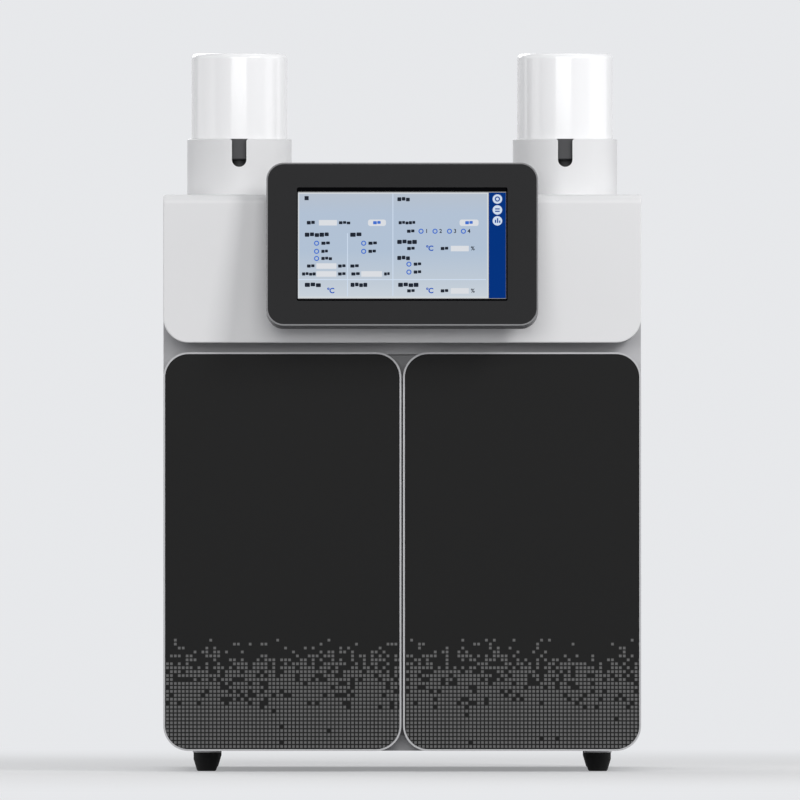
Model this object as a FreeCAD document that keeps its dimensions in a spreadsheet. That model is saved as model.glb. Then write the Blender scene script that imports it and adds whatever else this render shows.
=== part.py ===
"""A bench-top ion chromatograph: a two-door cabinet with an overhanging head that carries a tilting
touch display and two electrolyte canisters in slotted collars. Millimetres, +Z up, front towards -Y,
origin on the bench under the middle of the instrument."""

import FreeCAD, Part
import math
import os

import Sketcher
from FreeCAD import Placement, Rotation, Vector

# Driving dimensions, in millimetres and degrees

SIZES = {
    # Whole instrument
    "overall_width": 435.0,
    "overall_depth": 488.0,
    "corner_radius": 23.0,
    "sheet_wall": 1.5,
    "moulded_wall": 2.5,
    "fit_gap": 0.3,
    "turning_gap": 0.05,
    # Heights, from the bench up
    "foot_rubber_height": 17.0,
    "foot_ring_height": 2.0,
    "door_height": 363.0,
    "neck_gap": 8.6,
    "head_height": 134.9,
    # Depths, from the front back
    "head_proud": 12.0,
    "door_thickness": 22.0,
    "door_gap": 1.0,
    "frame_thickness": 3.0,
    "spigot_reach": 14.0,
    # Feet
    "foot_inset": 39.0,
    "foot_end_inset": 42.0,
    "foot_top_radius": 11.9,
    "foot_bottom_radius": 8.9,
    "foot_taper_height": 11.0,
    "foot_ring_radius": 12.6,
    "foot_screw_radius": 2.2,
    "foot_screw_head_radius": 4.2,
    "foot_screw_head_height": 3.2,
    "foot_counterbore_radius": 5.0,
    "foot_counterbore_depth": 9.0,
    "foot_nut_height": 4.0,
    # Front frame and bays
    "frame_border": 15.0,
    "frame_sill": 14.0,
    "frame_lintel": 2.0,
    "opening_radius": 8.0,
    "bay_depth": 95.0,
    "post_width": 32.0,
    "post_gap": 0.7,
    "vent_length": 70.0,
    "vent_height": 4.0,
    "vent_pitch": 11.0,
    "pan_height": 9.0,
    # Doors and their hinges
    "door_split": 1.5,
    "door_rim": 1.6,
    "door_panel_thickness": 3.0,
    "door_band": 16.0,
    "door_recess": 13.0,
    "door_rib_height": 9.0,
    "door_rib_thickness": 2.4,
    "hinge_offset": 8.0,
    "hinge_inset": 62.0,
    "hinge_arm_height": 12.0,
    "hinge_arm_width": 7.0,
    "hinge_side_gap": 1.0,
    "hinge_nose_gap": 2.7,
    "hinge_pin_radius": 2.0,
    "hinge_pin_length": 34.0,
    "hinge_flange_thickness": 3.0,
    "hinge_flange_height": 34.0,
    "hinge_flange_width": 10.6,
    "magnet_width": 6.0,
    "magnet_height": 24.0,
    "magnet_thickness": 5.0,
    "magnet_edge": 11.0,
    "magnet_inset": 70.0,
    # Head
    "head_edge_radius": 8.0,
    "head_soft_edge": 1.2,
    "shelf_flange": 12.0,
    # Display
    "display_width": 247.0,
    "display_height": 150.5,
    "display_thickness": 24.0,
    "display_corner_radius": 16.0,
    "display_back_radius": 7.0,
    "display_rim": 1.3,
    "display_tilt": 10.0,
    "display_pivot_height": 475.0,
    "display_window_width": 191.5,
    "display_window_height": 104.9,
    "display_window_radius": 1.5,
    "bezel_thickness": 2.6,
    "display_margin": 8.0,
    "lcd_overlap": 4.0,
    "lcd_thickness": 5.0,
    "lcd_corner_radius": 1.0,
    "display_hub_gap": 6.0,
    "display_hub_radius": 7.0,
    "display_hub_width": 44.0,
    "display_pin_radius": 3.0,
    "bracket_plate": 2.5,
    "bracket_ear": 5.0,
    "bracket_width": 74.0,
    "bracket_height": 56.0,
    "bracket_corner_radius": 4.0,
    "bracket_clearance": 0.8,
    "bracket_nose_flat": 1.04,
    # Canisters and their holders
    "canister_inset": 69.0,
    "canister_setback": 74.0,
    "holder_radius": 47.6,
    "holder_height": 51.0,
    "holder_wall": 3.2,
    "holder_floor": 4.0,
    "holder_edge": 0.6,
    "slot_width": 13.2,
    "slot_depth": 25.6,
    "slot_flare": 2.4,
    "canister_radius": 43.7,
    "canister_height": 78.0,
    "canister_wall": 3.0,
    "canister_edge_radius": 4.5,
    "canister_ring_height": 19.0,
    "canister_foot_radius": 30.0,
    "canister_spigot_height": 8.0,
    # Flow path in the bays
    "flow_plane": 34.0,
    "fitting_radius": 4.2,
    "fitting_length": 12.0,
    "tube_radius": 0.8,
    "tube_bend": 12.0,
    "tube_stub": 2.0,
    "pump_block": 46.0,
    "pump_front": 12.0,
    "pump_neck_radius": 18.0,
    "pump_edge_radius": 3.0,
    "pump_cap_radius": 16.0,
    "pump_cap_height": 2.0,
    "pump_screw_inset": 6.0,
    "pump_screw_radius": 3.0,
    "pump_screw_height": 3.0,
    "check_valve_radius": 8.0,
    "check_valve_length": 14.0,
    "pump_drive_width": 140.0,
    "pump_drive_height": 100.0,
    "pump_drive_length": 110.0,
    "purge_block": 34.0,
    "purge_block_front": 2.0,
    "purge_stem_radius": 4.0,
    "purge_stem_length": 12.0,
    "purge_knob_radius": 12.0,
    "purge_knob_length": 14.0,
    "knob_face": 2.0,
    "knob_collar": 1.0,
    "knob_flute_radius": 1.8,
    "knob_flute_offset": 0.6,
    "knob_mark_width": 1.6,
    "knob_mark_depth": 0.8,
    "knob_mark_margin": 2.0,
    "housing_edge_radius": 4.0,
    "module_edge_radius": 2.0,
    "degasser_depth": 50.0,
    "degasser_port_height": 8.0,
    "valve_radius": 26.0,
    "stator_radius": 18.0,
    "stator_length": 18.0,
    "valve_cap_radius": 9.0,
    "valve_cap_height": 3.0,
    "heater_depth": 20.0,
    "heater_margin": 12.0,
    "heater_edge_radius": 5.0,
    "column_radius": 5.0,
    "column_end_radius": 8.0,
    "column_end_length": 18.0,
    "clip_width": 20.0,
    "clip_height": 12.0,
    "clip_mouth": 8.4,
    "suppressor_width": 26.0,
    "suppressor_front": 12.0,
    "suppressor_side_margin": 4.0,
    "suppressor_end_margin": 10.0,
    "suppressor_plate": 3.0,
    "cell_radius": 20.0,
    "cell_front": 10.0,
    "cell_cap_height": 4.0,
    "cell_cap_margin": 6.0,
    "cell_boss_margin": 2.0,
    # Electronics and the rear panel
    "supply_width": 150.0,
    "supply_length": 160.0,
    "supply_height": 60.0,
    "supply_side_gap": 8.0,
    "supply_rear_gap": 40.0,
    "board_width": 170.0,
    "board_length": 120.0,
    "board_thickness": 1.6,
    "board_standoff": 8.0,
    "board_rear_gap": 1.0,
    "standoff_radius": 3.0,
    "standoff_inset": 6.0,
    "chip_height": 4.0,
    "chip_edge_radius": 1.0,
    "port_reach": 16.0,
    "port_wall": 1.2,
    "port_floor": 5.0,
    "port_recess": 0.5,
    "network_port_inset": 40.0,
    "network_port_width": 16.0,
    "network_port_height": 13.5,
    "serial_port_inset": 8.0,
    "serial_port_width": 14.0,
    "serial_port_height": 15.6,
    "sensor_port_inset": 26.0,
    "sensor_port_width": 14.0,
    "sensor_port_height": 7.6,
    "fan_size": 80.0,
    "fan_depth": 25.0,
    "fan_bore_radius": 38.0,
    "fan_hub_radius": 18.0,
    "fan_blade_radius": 35.5,
    "fan_shaft_radius": 3.0,
    "fan_shaft_length": 15.0,
    "fan_rotor_length": 17.0,
    "fan_screw_pitch": 71.5,
    "fan_screw_hole_radius": 2.1,
    "fan_spoke_width": 4.0,
    "fan_spoke_thickness": 3.0,
    "fan_spoke_lap": 1.0,
    "fan_blade_lap": 1.0,
    "fan_blade_thickness": 1.6,
    "fan_blade_root_lean": 5.0,
    "fan_blade_root_depth": 14.0,
    "fan_blade_tip_lean": 9.0,
    "fan_blade_tip_depth": 10.0,
    "fan_slot_height": 4.8,
    "fan_slot_margin": 2.0,
    "inlet_width": 72.0,
    "inlet_height": 32.0,
    "inlet_flange": 2.5,
    "inlet_depth": 28.0,
    "inlet_side_lip": 4.0,
    "inlet_end_lip": 3.0,
    "plug_width": 24.6,
    "plug_height": 17.0,
    "plug_depth": 17.0,
    "plug_corner_radius": 3.0,
    "blade_width": 2.0,
    "blade_height": 4.0,
    "blade_pitch": 7.0,
    "blade_drop": 1.5,
    "blade_rise": 2.0,
    "blade_recess": 2.0,
    "rocker_width": 13.0,
    "rocker_height": 21.0,
    "rocker_depth": 9.0,
    "rocker_high_end": 2.0,
    "rocker_low_end": 0.4,
    "rocker_end_gap": 1.2,
    "rocker_well": 6.0,
    "rocker_pin_radius": 1.5,
    "rocker_pin_length": 2.0,
    "rocker_bearing_depth": 2.4,
    "spigot_radius": 4.0,
    "spigot_bore_radius": 2.4,
    "spigot_flange_radius": 9.0,
    "spigot_flange_thickness": 2.0,
    "spigot_nut_radius": 7.0,
    "spigot_nut_length": 10.0,
    "spigot_tip_length": 5.0,
    "spigot_tip_taper": 0.8,
    "spigot_barb_pitch": 4.0,
    "spigot_barb_rise": 0.6,
}

# Counts and shares

SIDE_VENTS = 9
FAN_SLOTS = 9
FAN_SLOT_SPREAD = 4.6
FAN_BLADES = 7
DOOR_CELLS_WIDE = 4
DOOR_CELLS_HIGH = 8
KNOB_FLUTES = 12
NUT_SIDES = 6
DEGASSER_CHANNELS = 4
CLIP_PLACES = (0.22, 0.78)
PORT_ANGLES = (90, 150, 210, 270, 330, 30)

# Chips on the main board: left, right, front and back, as shares of the board
CHIPS = ((-0.30, -0.12, 0.17, 0.42), (0.06, 0.20, 0.22, 0.42), (0.27, 0.36, 0.17, 0.50))

# Sizes that know their sheet expression


class Size:
    """A length or angle: its value now, and the sheet expression that keeps it up to date."""

    def __init__(self, value, text):
        self.value = float(value)
        self.text = text

    def __add__(self, other):
        other = as_size(other)
        return Size(self.value + other.value, f"({self.text} + {other.text})")

    def __sub__(self, other):
        other = as_size(other)
        return Size(self.value - other.value, f"({self.text} - {other.text})")

    def __mul__(self, other):
        other = as_size(other)
        return Size(self.value * other.value, f"({self.text} * {other.text})")

    def __truediv__(self, other):
        other = as_size(other)
        return Size(self.value / other.value, f"({self.text} / {other.text})")

    def __neg__(self):
        return Size(-self.value, f"(0 - {self.text})")

    def __radd__(self, other):
        return as_size(other) + self

    def __rsub__(self, other):
        return as_size(other) - self

    __rmul__ = __mul__


def as_size(number):
    return number if isinstance(number, Size) else Size(number, repr(float(number)))


def sine(angle):
    return Size(math.sin(math.radians(angle.value)), f"sin({angle.text})")


def cosine(angle):
    return Size(math.cos(math.radians(angle.value)), f"cos({angle.text})")


class SizeSheet:
    """The spreadsheet of driving dimensions, each read by its name."""

    def __init__(self, document):
        self.sheet = document.addObject("Spreadsheet::Sheet", "Sizes")
        for row, (alias, number) in enumerate(SIZES.items(), 1):
            self.sheet.set(f"A{row}", alias)
            self.sheet.set(f"B{row}", str(number))
            self.sheet.setAlias(f"B{row}", alias)
        document.recompute()

    def __getattr__(self, alias):
        return Size(self.sheet.get(alias), f"Sizes.{alias}")


doc = FreeCAD.newDocument("IonChromatograph")
s = SizeSheet(doc)
subparts = []


def bind(thing, path, size):
    thing.setExpression(path, as_size(size).text)


def keep(thing, label):
    """Names a finished sub-part and lists it for export."""
    thing.Label = label
    subparts.append(thing)
    return thing


def place(thing, x, y, z):
    for axis, size in zip("xyz", (x, y, z)):
        bind(thing, f"Placement.Base.{axis}", size)
    return thing


# Sketches

ORIGIN = (-1, 1)
PLANES = {"XY": ("XY_Plane", 1), "XZ": ("XZ_Plane", -1), "YZ": ("YZ_Plane", 1)}


def measure(sketch, size, kind, *where):
    size = as_size(size)
    index = sketch.addConstraint(Sketcher.Constraint(kind, *where, size.value))
    sketch.setExpression(f"Constraints[{index}]", size.text)


def pin_point(sketch, geometry, point, across, up):
    measure(sketch, across, "DistanceX", *ORIGIN, geometry, point)
    measure(sketch, up, "DistanceY", *ORIGIN, geometry, point)


def join(sketch, kind, *where):
    sketch.addConstraint(Sketcher.Constraint(kind, *where))


def loop(corners):
    """Draws a closed outline of level and upright edges; each corner is (across, up, radius)."""
    corners = [[as_size(size) for size in corner] for corner in corners]
    count = len(corners)

    def draw(sketch):
        first = sketch.GeometryCount
        spots = [Vector(across.value, up.value, 0) for across, up, _ in corners]
        steps = [(spots[(i + 1) % count] - spots[i]).normalize() for i in range(count)]
        for i in range(count):
            after = (i + 1) % count
            start = spots[i] + steps[i] * corners[i][2].value
            end = spots[after] - steps[i] * corners[after][2].value
            sketch.addGeometry(Part.LineSegment(start, end), False)
            level = abs(steps[i].x) > 0.5
            join(sketch, "Horizontal" if level else "Vertical", first + i)
            if level:
                measure(sketch, corners[i][1], "DistanceY", *ORIGIN, first + i, 1)
            else:
                measure(sketch, corners[i][0], "DistanceX", *ORIGIN, first + i, 1)
        for i in range(count):
            before = first + (i - 1) % count
            radius = corners[i][2]
            if radius.value == 0:
                join(sketch, "Coincident", before, 2, first + i, 1)
                continue
            arriving, leaving = steps[i - 1], steps[i]
            centre = spots[i] + (leaving - arriving) * radius.value
            turns_left = arriving.cross(leaving).z > 0
            start, end = (-leaving, arriving) if turns_left else (arriving, -leaving)
            low = math.atan2(start.y, start.x)
            high = math.atan2(end.y, end.x)
            if high < low:
                high += 2 * math.pi
            circle = Part.Circle(centre, Vector(0, 0, 1), radius.value)
            arc = sketch.addGeometry(Part.ArcOfCircle(circle, low, high), False)
            join(sketch, "Tangent", before, 2, arc, 1 if turns_left else 2)
            join(sketch, "Tangent", first + i, 1, arc, 2 if turns_left else 1)
            measure(sketch, radius, "Radius", arc)

    return draw


def rect(left, right, bottom, top, radius=0):
    return loop(
        [(left, bottom, radius), (right, bottom, radius), (right, top, radius), (left, top, radius)]
    )


def disc(across, up, radius):
    across, up, radius = as_size(across), as_size(up), as_size(radius)

    def draw(sketch):
        centre = Vector(across.value, up.value, 0)
        circle = sketch.addGeometry(Part.Circle(centre, Vector(0, 0, 1), radius.value), False)
        pin_point(sketch, circle, 3, across, up)
        measure(sketch, radius, "Radius", circle)

    return draw


def polygon(points):
    points = [(as_size(across), as_size(up)) for across, up in points]
    count = len(points)

    def draw(sketch):
        first = sketch.GeometryCount
        spots = [Vector(across.value, up.value, 0) for across, up in points]
        for i in range(count):
            sketch.addGeometry(Part.LineSegment(spots[i], spots[(i + 1) % count]), False)
            pin_point(sketch, first + i, 1, *points[i])
        for i in range(count):
            join(sketch, "Coincident", first + i, 2, first + (i + 1) % count, 1)

    return draw


def obround(across, up, length, radius):
    """Draws a level slot with round ends."""
    across, up, length, radius = (as_size(size) for size in (across, up, length, radius))
    reach = length / 2 - radius

    def draw(sketch):
        arcs = []
        for side, low in ((-1, math.pi / 2), (1, -math.pi / 2)):
            centre = Vector(across.value + side * reach.value, up.value, 0)
            circle = Part.Circle(centre, Vector(0, 0, 1), radius.value)
            arc = sketch.addGeometry(Part.ArcOfCircle(circle, low, low + math.pi), False)
            pin_point(sketch, arc, 3, across + side * reach, up)
            arcs.append(arc)
        left, right = arcs
        for height, from_left, to_right in ((1, 1, 2), (-1, 2, 1)):
            level = up.value + height * radius.value
            line = Part.LineSegment(
                Vector(across.value - reach.value, level, 0),
                Vector(across.value + reach.value, level, 0),
            )
            edge = sketch.addGeometry(line, False)
            join(sketch, "Tangent", edge, 1, left, from_left)
            join(sketch, "Tangent", edge, 2, right, to_right)
        measure(sketch, radius, "Radius", left)

    return draw


# PartDesign bodies


def new_body(name):
    return doc.addObject("PartDesign::Body", name)


def origin_feature(body, role):
    return next(part for part in body.Origin.OriginFeatures if part.Role == role)


def sketch_at(body, plane, level, drawings):
    role, sign = PLANES[plane]
    sketch = body.newObject("Sketcher::SketchObject", f"{body.Name}_sketch")
    sketch.AttachmentSupport = [(origin_feature(body, role), "")]
    sketch.MapMode = "FlatFace"
    bind(sketch, "AttachmentOffset.Base.z", sign * as_size(level))
    for draw in drawings:
        draw(sketch)
    return sketch


def slab(body, plane, low, high, *drawings):
    """Adds a pad of the drawn outline between two levels of a plane."""
    low, high = as_size(low), as_size(high)
    start = high if plane == "XZ" else low
    pad = body.newObject("PartDesign::Pad", f"{body.Name}_pad")
    pad.Profile = sketch_at(body, plane, start, drawings)
    bind(pad, "Length", high - low)
    doc.recompute()
    return pad


def carve(body, plane, low, high, *drawings):
    """Cuts the drawn outline out between two levels of a plane, and checks that it cut."""
    low, high = as_size(low), as_size(high)
    start = low if plane == "XZ" else high
    before = body.Tip.Shape.Volume
    pocket = body.newObject("PartDesign::Pocket", f"{body.Name}_pocket")
    pocket.Profile = sketch_at(body, plane, start, drawings)
    bind(pocket, "Length", high - low)
    doc.recompute()
    if not pocket.Shape.Volume < before:
        raise RuntimeError(f"a pocket of {body.Name} cuts nothing")
    return pocket


def turned(name, *drawings):
    """A body of revolution about +Z; the drawing holds (radius, height)."""
    body = new_body(name)
    sketch = sketch_at(body, "XZ", 0, drawings)
    turn = body.newObject("PartDesign::Revolution", f"{name}_turn")
    turn.Profile = sketch
    turn.ReferenceAxis = (sketch, ["V_Axis"])
    turn.Angle = 360
    doc.recompute()
    return body


NEAR = 1e-3


def edges_at(shape, **where):
    """The names of the edges whose middle lies at the given x, y or z."""
    names = []
    for index, edge in enumerate(shape.Edges, 1):
        middle = edge.valueAt((edge.FirstParameter + edge.LastParameter) / 2)
        offs = [getattr(middle, axis) - as_size(at).value for axis, at in where.items()]
        if all(abs(off) < NEAR for off in offs):
            names.append(f"Edge{index}")
    return names


def round_edges(body, radius, names):
    base = body.Tip
    fillet = body.newObject("PartDesign::Fillet", f"{body.Name}_fillet")
    fillet.Base = (base, names)
    bind(fillet, "Radius", radius)
    doc.recompute()
    return fillet


# Part primitives


def block(name, left, right, front, back, bottom, top):
    box = doc.addObject("Part::Box", name)
    left, front, bottom = as_size(left), as_size(front), as_size(bottom)
    bind(box, "Length", right - left)
    bind(box, "Width", back - front)
    bind(box, "Height", top - bottom)
    return place(box, left, front, bottom)


TURNS = {
    "x": Rotation(Vector(0, 1, 0), 90),
    "y": Rotation(Vector(1, 0, 0), -90),
    "z": Rotation(),
}


def rod(name, axis, x, y, z, radius, length):
    """A cylinder from (x, y, z) along +axis."""
    cylinder = doc.addObject("Part::Cylinder", name)
    cylinder.Placement = Placement(Vector(), TURNS[axis])
    bind(cylinder, "Radius", radius)
    bind(cylinder, "Height", length)
    return place(cylinder, x, y, z)


def fuse(name, shapes):
    union = doc.addObject("Part::MultiFuse", name)
    union.Shapes = shapes
    return union


def cut(name, base, tools):
    result = doc.addObject("Part::Cut", name)
    result.Base = base
    result.Tool = tools[0] if len(tools) == 1 else fuse(f"{name}_tools", tools)
    return result


# Levels that the pieces share

half_width = s.overall_width / 2
z_body = s.foot_rubber_height + s.foot_ring_height
z_door_top = z_body + s.door_height
z_head = z_door_top + s.neck_gap
z_top = z_head + s.head_height
z_sill = z_body + s.frame_sill
z_lintel = z_door_top - s.frame_lintel

y_front = -s.overall_depth / 2
pivot_to_glass = s.display_hub_gap + s.display_thickness
y_pivot = (
    y_front
    + pivot_to_glass * cosine(s.display_tilt)
    + s.display_height / 2 * sine(s.display_tilt)
)
z_pivot = s.display_pivot_height
y_head = y_pivot + s.display_hub_radius + s.fit_gap * 2 + s.bracket_plate
y_door = y_head + s.head_proud
y_door_back = y_door + s.door_thickness
y_frame = y_door_back + s.door_gap
y_shell = y_frame + s.frame_thickness
y_rear = s.overall_depth / 2 - s.spigot_reach
y_rear_inner = y_rear - s.sheet_wall
y_bay_back = y_frame + s.bay_depth
y_bay_wall = y_bay_back - s.sheet_wall
y_flow = y_bay_wall - s.flow_plane

half_opening = half_width - s.frame_border
half_post = s.post_width / 2
y_hinge = y_door_back - s.hinge_offset
x_hinge = half_width - s.hinge_offset
hinge_heights = [z_body + s.hinge_inset, z_door_top - s.hinge_inset]
magnet_heights = [z_body + s.magnet_inset, z_door_top - s.magnet_inset]

x_foot = half_width - s.foot_inset
foot_spots = [
    (side * x_foot, y)
    for y in (y_shell + s.foot_end_inset, y_rear - s.foot_end_inset)
    for side in (-1, 1)
]
y_canister = y_head + s.canister_setback
x_canister = half_width - s.canister_inset


def across_bay(part):
    """The distance from the middle of the instrument to a given part of a bay's width."""
    return half_post + (half_opening - half_post) * part


def up_bay(part):
    """The height of a given part of the opening."""
    return z_sill + (z_lintel - z_sill) * part


x_pumps = [-across_bay(0.70), -across_bay(0.32)]
z_pump = up_bay(0.243)
x_purge = -across_bay(0.24)
z_purge = up_bay(0.62)
x_valve = across_bay(0.25)
z_valve = up_bay(0.827)
x_column = across_bay(0.76)
z_column_low = up_bay(0.19)
z_column_high = up_bay(0.827)
x_suppressor = across_bay(0.475)
z_suppressor_low = up_bay(0.162)
z_suppressor_high = up_bay(0.566)
x_cell = x_valve
z_cell = up_bay(0.422)

x_fan = -half_width * 0.48
z_fan = up_bay(0.72)
x_inlet = half_width * 0.6
z_inlet = z_body + s.door_height * 0.16
x_spigot = -half_width * 0.7
z_spigot = z_body + s.door_height * 0.12
x_board = half_width * 0.3
z_board = z_head + s.sheet_wall + s.board_standoff


inlet_inner_width = s.inlet_width - s.inlet_side_lip * 2
inlet_inner_height = s.inlet_height - s.inlet_end_lip * 2
z_port = z_board + s.board_thickness
ports = [
    (x_board - s.network_port_inset, s.network_port_width, s.network_port_height),
    (x_board - s.serial_port_inset, s.serial_port_width, s.serial_port_height),
    (x_board + s.sensor_port_inset, s.sensor_port_width, s.sensor_port_height),
]


def cabinet_outline(bottom_radius, top_radius, bottom, top, inset=0):
    """The front view of the cabinet: a tall outline with round lower corners."""
    side = half_width - inset
    return loop(
        [
            (-side, bottom, bottom_radius),
            (side, bottom, bottom_radius),
            (side, top, top_radius),
            (-side, top, top_radius),
        ]
    )


# Cabinet


def body_wrap():
    """Both sides and the underside, folded from one sheet."""
    body = new_body("body_wrap")
    wall = s.sheet_wall
    inner = half_width - wall
    bend = s.corner_radius
    slab(
        body,
        "XZ",
        y_shell,
        y_rear_inner,
        loop(
            [
                (-half_width, z_head, 0),
                (-half_width, z_body, bend),
                (half_width, z_body, bend),
                (half_width, z_head, 0),
                (inner, z_head, 0),
                (inner, z_body + wall, bend - wall),
                (-inner, z_body + wall, bend - wall),
                (-inner, z_head, 0),
            ]
        ),
    )
    holes = [disc(x, y, s.foot_screw_radius + s.fit_gap / 2) for x, y in foot_spots]
    carve(body, "XY", z_body, z_body + wall, *holes)
    y_vents = y_rear - s.vent_length
    slots = [
        obround(y_vents, up_bay(0.15) + s.vent_pitch * row, s.vent_length, s.vent_height / 2)
        for row in range(SIDE_VENTS)
    ]
    carve(body, "YZ", -half_width, half_width, *slots)
    return keep(body, "body_wrap")


def top_cover():
    """The top and upper sides, one folded sheet behind the head."""
    body = new_body("top_cover")
    wall = s.sheet_wall
    inner = half_width - wall
    bend = wall * 2
    slab(
        body,
        "XZ",
        y_shell,
        y_rear_inner,
        loop(
            [
                (-half_width, z_head, 0),
                (-inner, z_head, 0),
                (-inner, z_top - wall, bend - wall),
                (inner, z_top - wall, bend - wall),
                (inner, z_head, 0),
                (half_width, z_head, 0),
                (half_width, z_top, bend),
                (-half_width, z_top, bend),
            ]
        ),
    )
    return keep(body, "top_cover")


def front_frame():
    """The bulkhead that the doors close on, with one wide opening."""
    body = new_body("front_frame")
    slab(
        body,
        "XZ",
        y_frame,
        y_shell,
        cabinet_outline(s.corner_radius, s.sheet_wall * 2, z_body, z_top),
        rect(-half_opening, half_opening, z_sill, z_lintel, s.opening_radius),
    )
    reach_x = s.hinge_arm_width / 2
    reach_z = s.hinge_arm_height / 2
    for side in (-1, 1):
        holes = [
            rect(side * x_hinge - reach_x, side * x_hinge + reach_x, z - reach_z, z + reach_z)
            for z in hinge_heights
        ]
        carve(body, "XZ", y_frame, y_shell, *holes)
    return keep(body, "front_frame")


def head_fascia():
    """The moulded front of the head, a shell open at the back."""
    body = new_body("head_fascia")
    wall = s.moulded_wall
    slab(
        body,
        "XZ",
        y_head,
        y_frame,
        cabinet_outline(s.corner_radius, 0, z_head, z_top),
    )
    inner_radius = s.corner_radius - wall
    carve(
        body,
        "XZ",
        y_head + wall,
        y_frame,
        cabinet_outline(inner_radius, 0, z_head + wall, z_top - wall, wall),
    )
    inner_edge = edges_at(body.Tip.Shape, x=0, y=y_head + wall, z=z_top - wall)
    round_edges(body, s.head_edge_radius - wall, inner_edge)
    outer_edge = edges_at(body.Tip.Shape, x=0, y=y_head, z=z_top)
    round_edges(body, s.head_edge_radius, outer_edge)
    lower_edge = edges_at(body.Tip.Shape, x=0, y=y_head, z=z_head)
    round_edges(body, s.head_soft_edge, lower_edge)
    return keep(body, "head_fascia")


def centre_post():
    """A steel channel between the bays, open at the back, that the door magnets pull on."""
    body = new_body("centre_post")
    wall = s.sheet_wall
    top = z_lintel - s.post_gap
    slab(body, "XZ", y_frame, y_bay_back, rect(-half_post, half_post, z_sill, top))
    carve(
        body,
        "XZ",
        y_frame + wall,
        y_bay_back,
        rect(wall - half_post, half_post - wall, z_sill, top),
    )
    return keep(body, "centre_post")


def bay(label, side, holes):
    """A tray behind one half of the opening, flush with its edges."""
    body = new_body(label)
    wall = s.sheet_wall
    near, far = side * half_post, side * half_opening
    corner = s.opening_radius

    def outline(grow):
        bottom, top = z_sill - grow, z_lintel + grow
        return loop(
            [
                (near + side * (wall - grow), bottom, 0),
                (far + side * grow, bottom, corner + grow),
                (far + side * grow, top, corner + grow),
                (near + side * (wall - grow), top, 0),
            ]
        )

    slab(body, "XZ", y_shell, y_bay_back, outline(wall))
    carve(body, "XZ", y_shell, y_bay_wall, outline(Size(0, "0")))
    if holes:
        carve(body, "XZ", y_bay_wall, y_bay_back, *holes)
    return keep(body, label)


def chassis_shelf():
    """The shelf under the head; its upright flanges carry the seam of wrap and cover."""
    body = new_body("chassis_shelf")
    wall = s.sheet_wall
    outer = half_width - wall
    inner = outer - wall
    low = z_head - s.shelf_flange
    high = z_head + s.shelf_flange
    slab(
        body,
        "XZ",
        y_shell,
        y_rear_inner,
        loop(
            [
                (-outer, low, 0),
                (-inner, low, 0),
                (-inner, z_head, 0),
                (inner, z_head, 0),
                (inner, low, 0),
                (outer, low, 0),
                (outer, high, 0),
                (inner, high, 0),
                (inner, z_head + wall, 0),
                (-inner, z_head + wall, 0),
                (-inner, high, 0),
                (-outer, high, 0),
            ]
        ),
    )
    return keep(body, "chassis_shelf")


def chassis_floor():
    """The stiffening pan over the underside."""
    body = new_body("chassis_floor")
    wall = s.sheet_wall
    low = z_body + wall
    high = low + s.pan_height
    outer = half_width - s.corner_radius
    slab(
        body,
        "YZ",
        -outer,
        outer,
        loop(
            [
                (y_shell, low, 0),
                (y_rear_inner, low, 0),
                (y_rear_inner, high, 0),
                (y_rear_inner - wall, high, 0),
                (y_rear_inner - wall, low + wall, 0),
                (y_shell + wall, low + wall, 0),
                (y_shell + wall, high, 0),
                (y_shell, high, 0),
            ]
        ),
    )
    holes = [disc(x, y, s.foot_screw_radius + s.fit_gap / 2) for x, y in foot_spots]
    carve(body, "XY", low, low + wall, *holes)
    return keep(body, "chassis_floor")


def rear_panel():
    body = new_body("rear_panel")
    slab(
        body,
        "XZ",
        y_rear_inner,
        y_rear,
        cabinet_outline(s.corner_radius, s.sheet_wall * 2, z_body, z_top),
    )
    reach = s.fan_bore_radius - s.fan_slot_margin
    rows = []
    for row in range(FAN_SLOTS):
        part = (row - (FAN_SLOTS - 1) / 2) / FAN_SLOT_SPREAD
        rows.append(
            obround(
                x_fan,
                z_fan + reach * part,
                reach * (2 * math.sqrt(1 - part * part)),
                s.fan_slot_height / 2,
            )
        )
    carve(body, "XZ", y_rear_inner, y_rear, *rows)
    half_wide = inlet_inner_width / 2
    half_tall = inlet_inner_height / 2
    cutouts = [
        rect(x_inlet - half_wide, x_inlet + half_wide, z_inlet - half_tall, z_inlet + half_tall),
        disc(x_spigot, z_spigot, s.spigot_radius + s.turning_gap * 2),
    ]
    for x, width, height in ports:
        cutouts.append(
            rect(
                x - width / 2 - s.fit_gap,
                x + width / 2 + s.fit_gap,
                z_port - s.fit_gap,
                z_port + height + s.fit_gap,
            )
        )
    carve(body, "XZ", y_rear_inner, y_rear, *cutouts)
    return keep(body, "rear_panel")


# Feet

FOOT_NAMES = ["foot_front_left", "foot_front_right", "foot_rear_left", "foot_rear_right"]


def feet():
    for label, (x, y) in zip(FOOT_NAMES, foot_spots):
        body = turned(
            label,
            polygon(
                [
                    (s.foot_screw_radius, s.foot_counterbore_depth),
                    (s.foot_counterbore_radius, s.foot_counterbore_depth),
                    (s.foot_counterbore_radius, 0),
                    (s.foot_bottom_radius - 1, 0),
                    (s.foot_bottom_radius, 1),
                    (s.foot_top_radius, s.foot_taper_height),
                    (s.foot_top_radius, s.foot_rubber_height),
                    (s.foot_screw_radius, s.foot_rubber_height),
                ]
            ),
        )
        place(body, x, y, 0)
        keep(body, label)


def foot_rings():
    """The pale discs between the feet and the cabinet."""
    low = s.foot_rubber_height
    discs = []
    holes = []
    for x, y in foot_spots:
        discs.append(rod("ring", "z", x, y, low, s.foot_ring_radius, s.foot_ring_height))
        holes.append(rod("hole", "z", x, y, low, s.foot_screw_radius, s.foot_ring_height))
    return keep(cut("foot_rings", fuse("ring_discs", discs), holes), "foot_rings")


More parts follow.
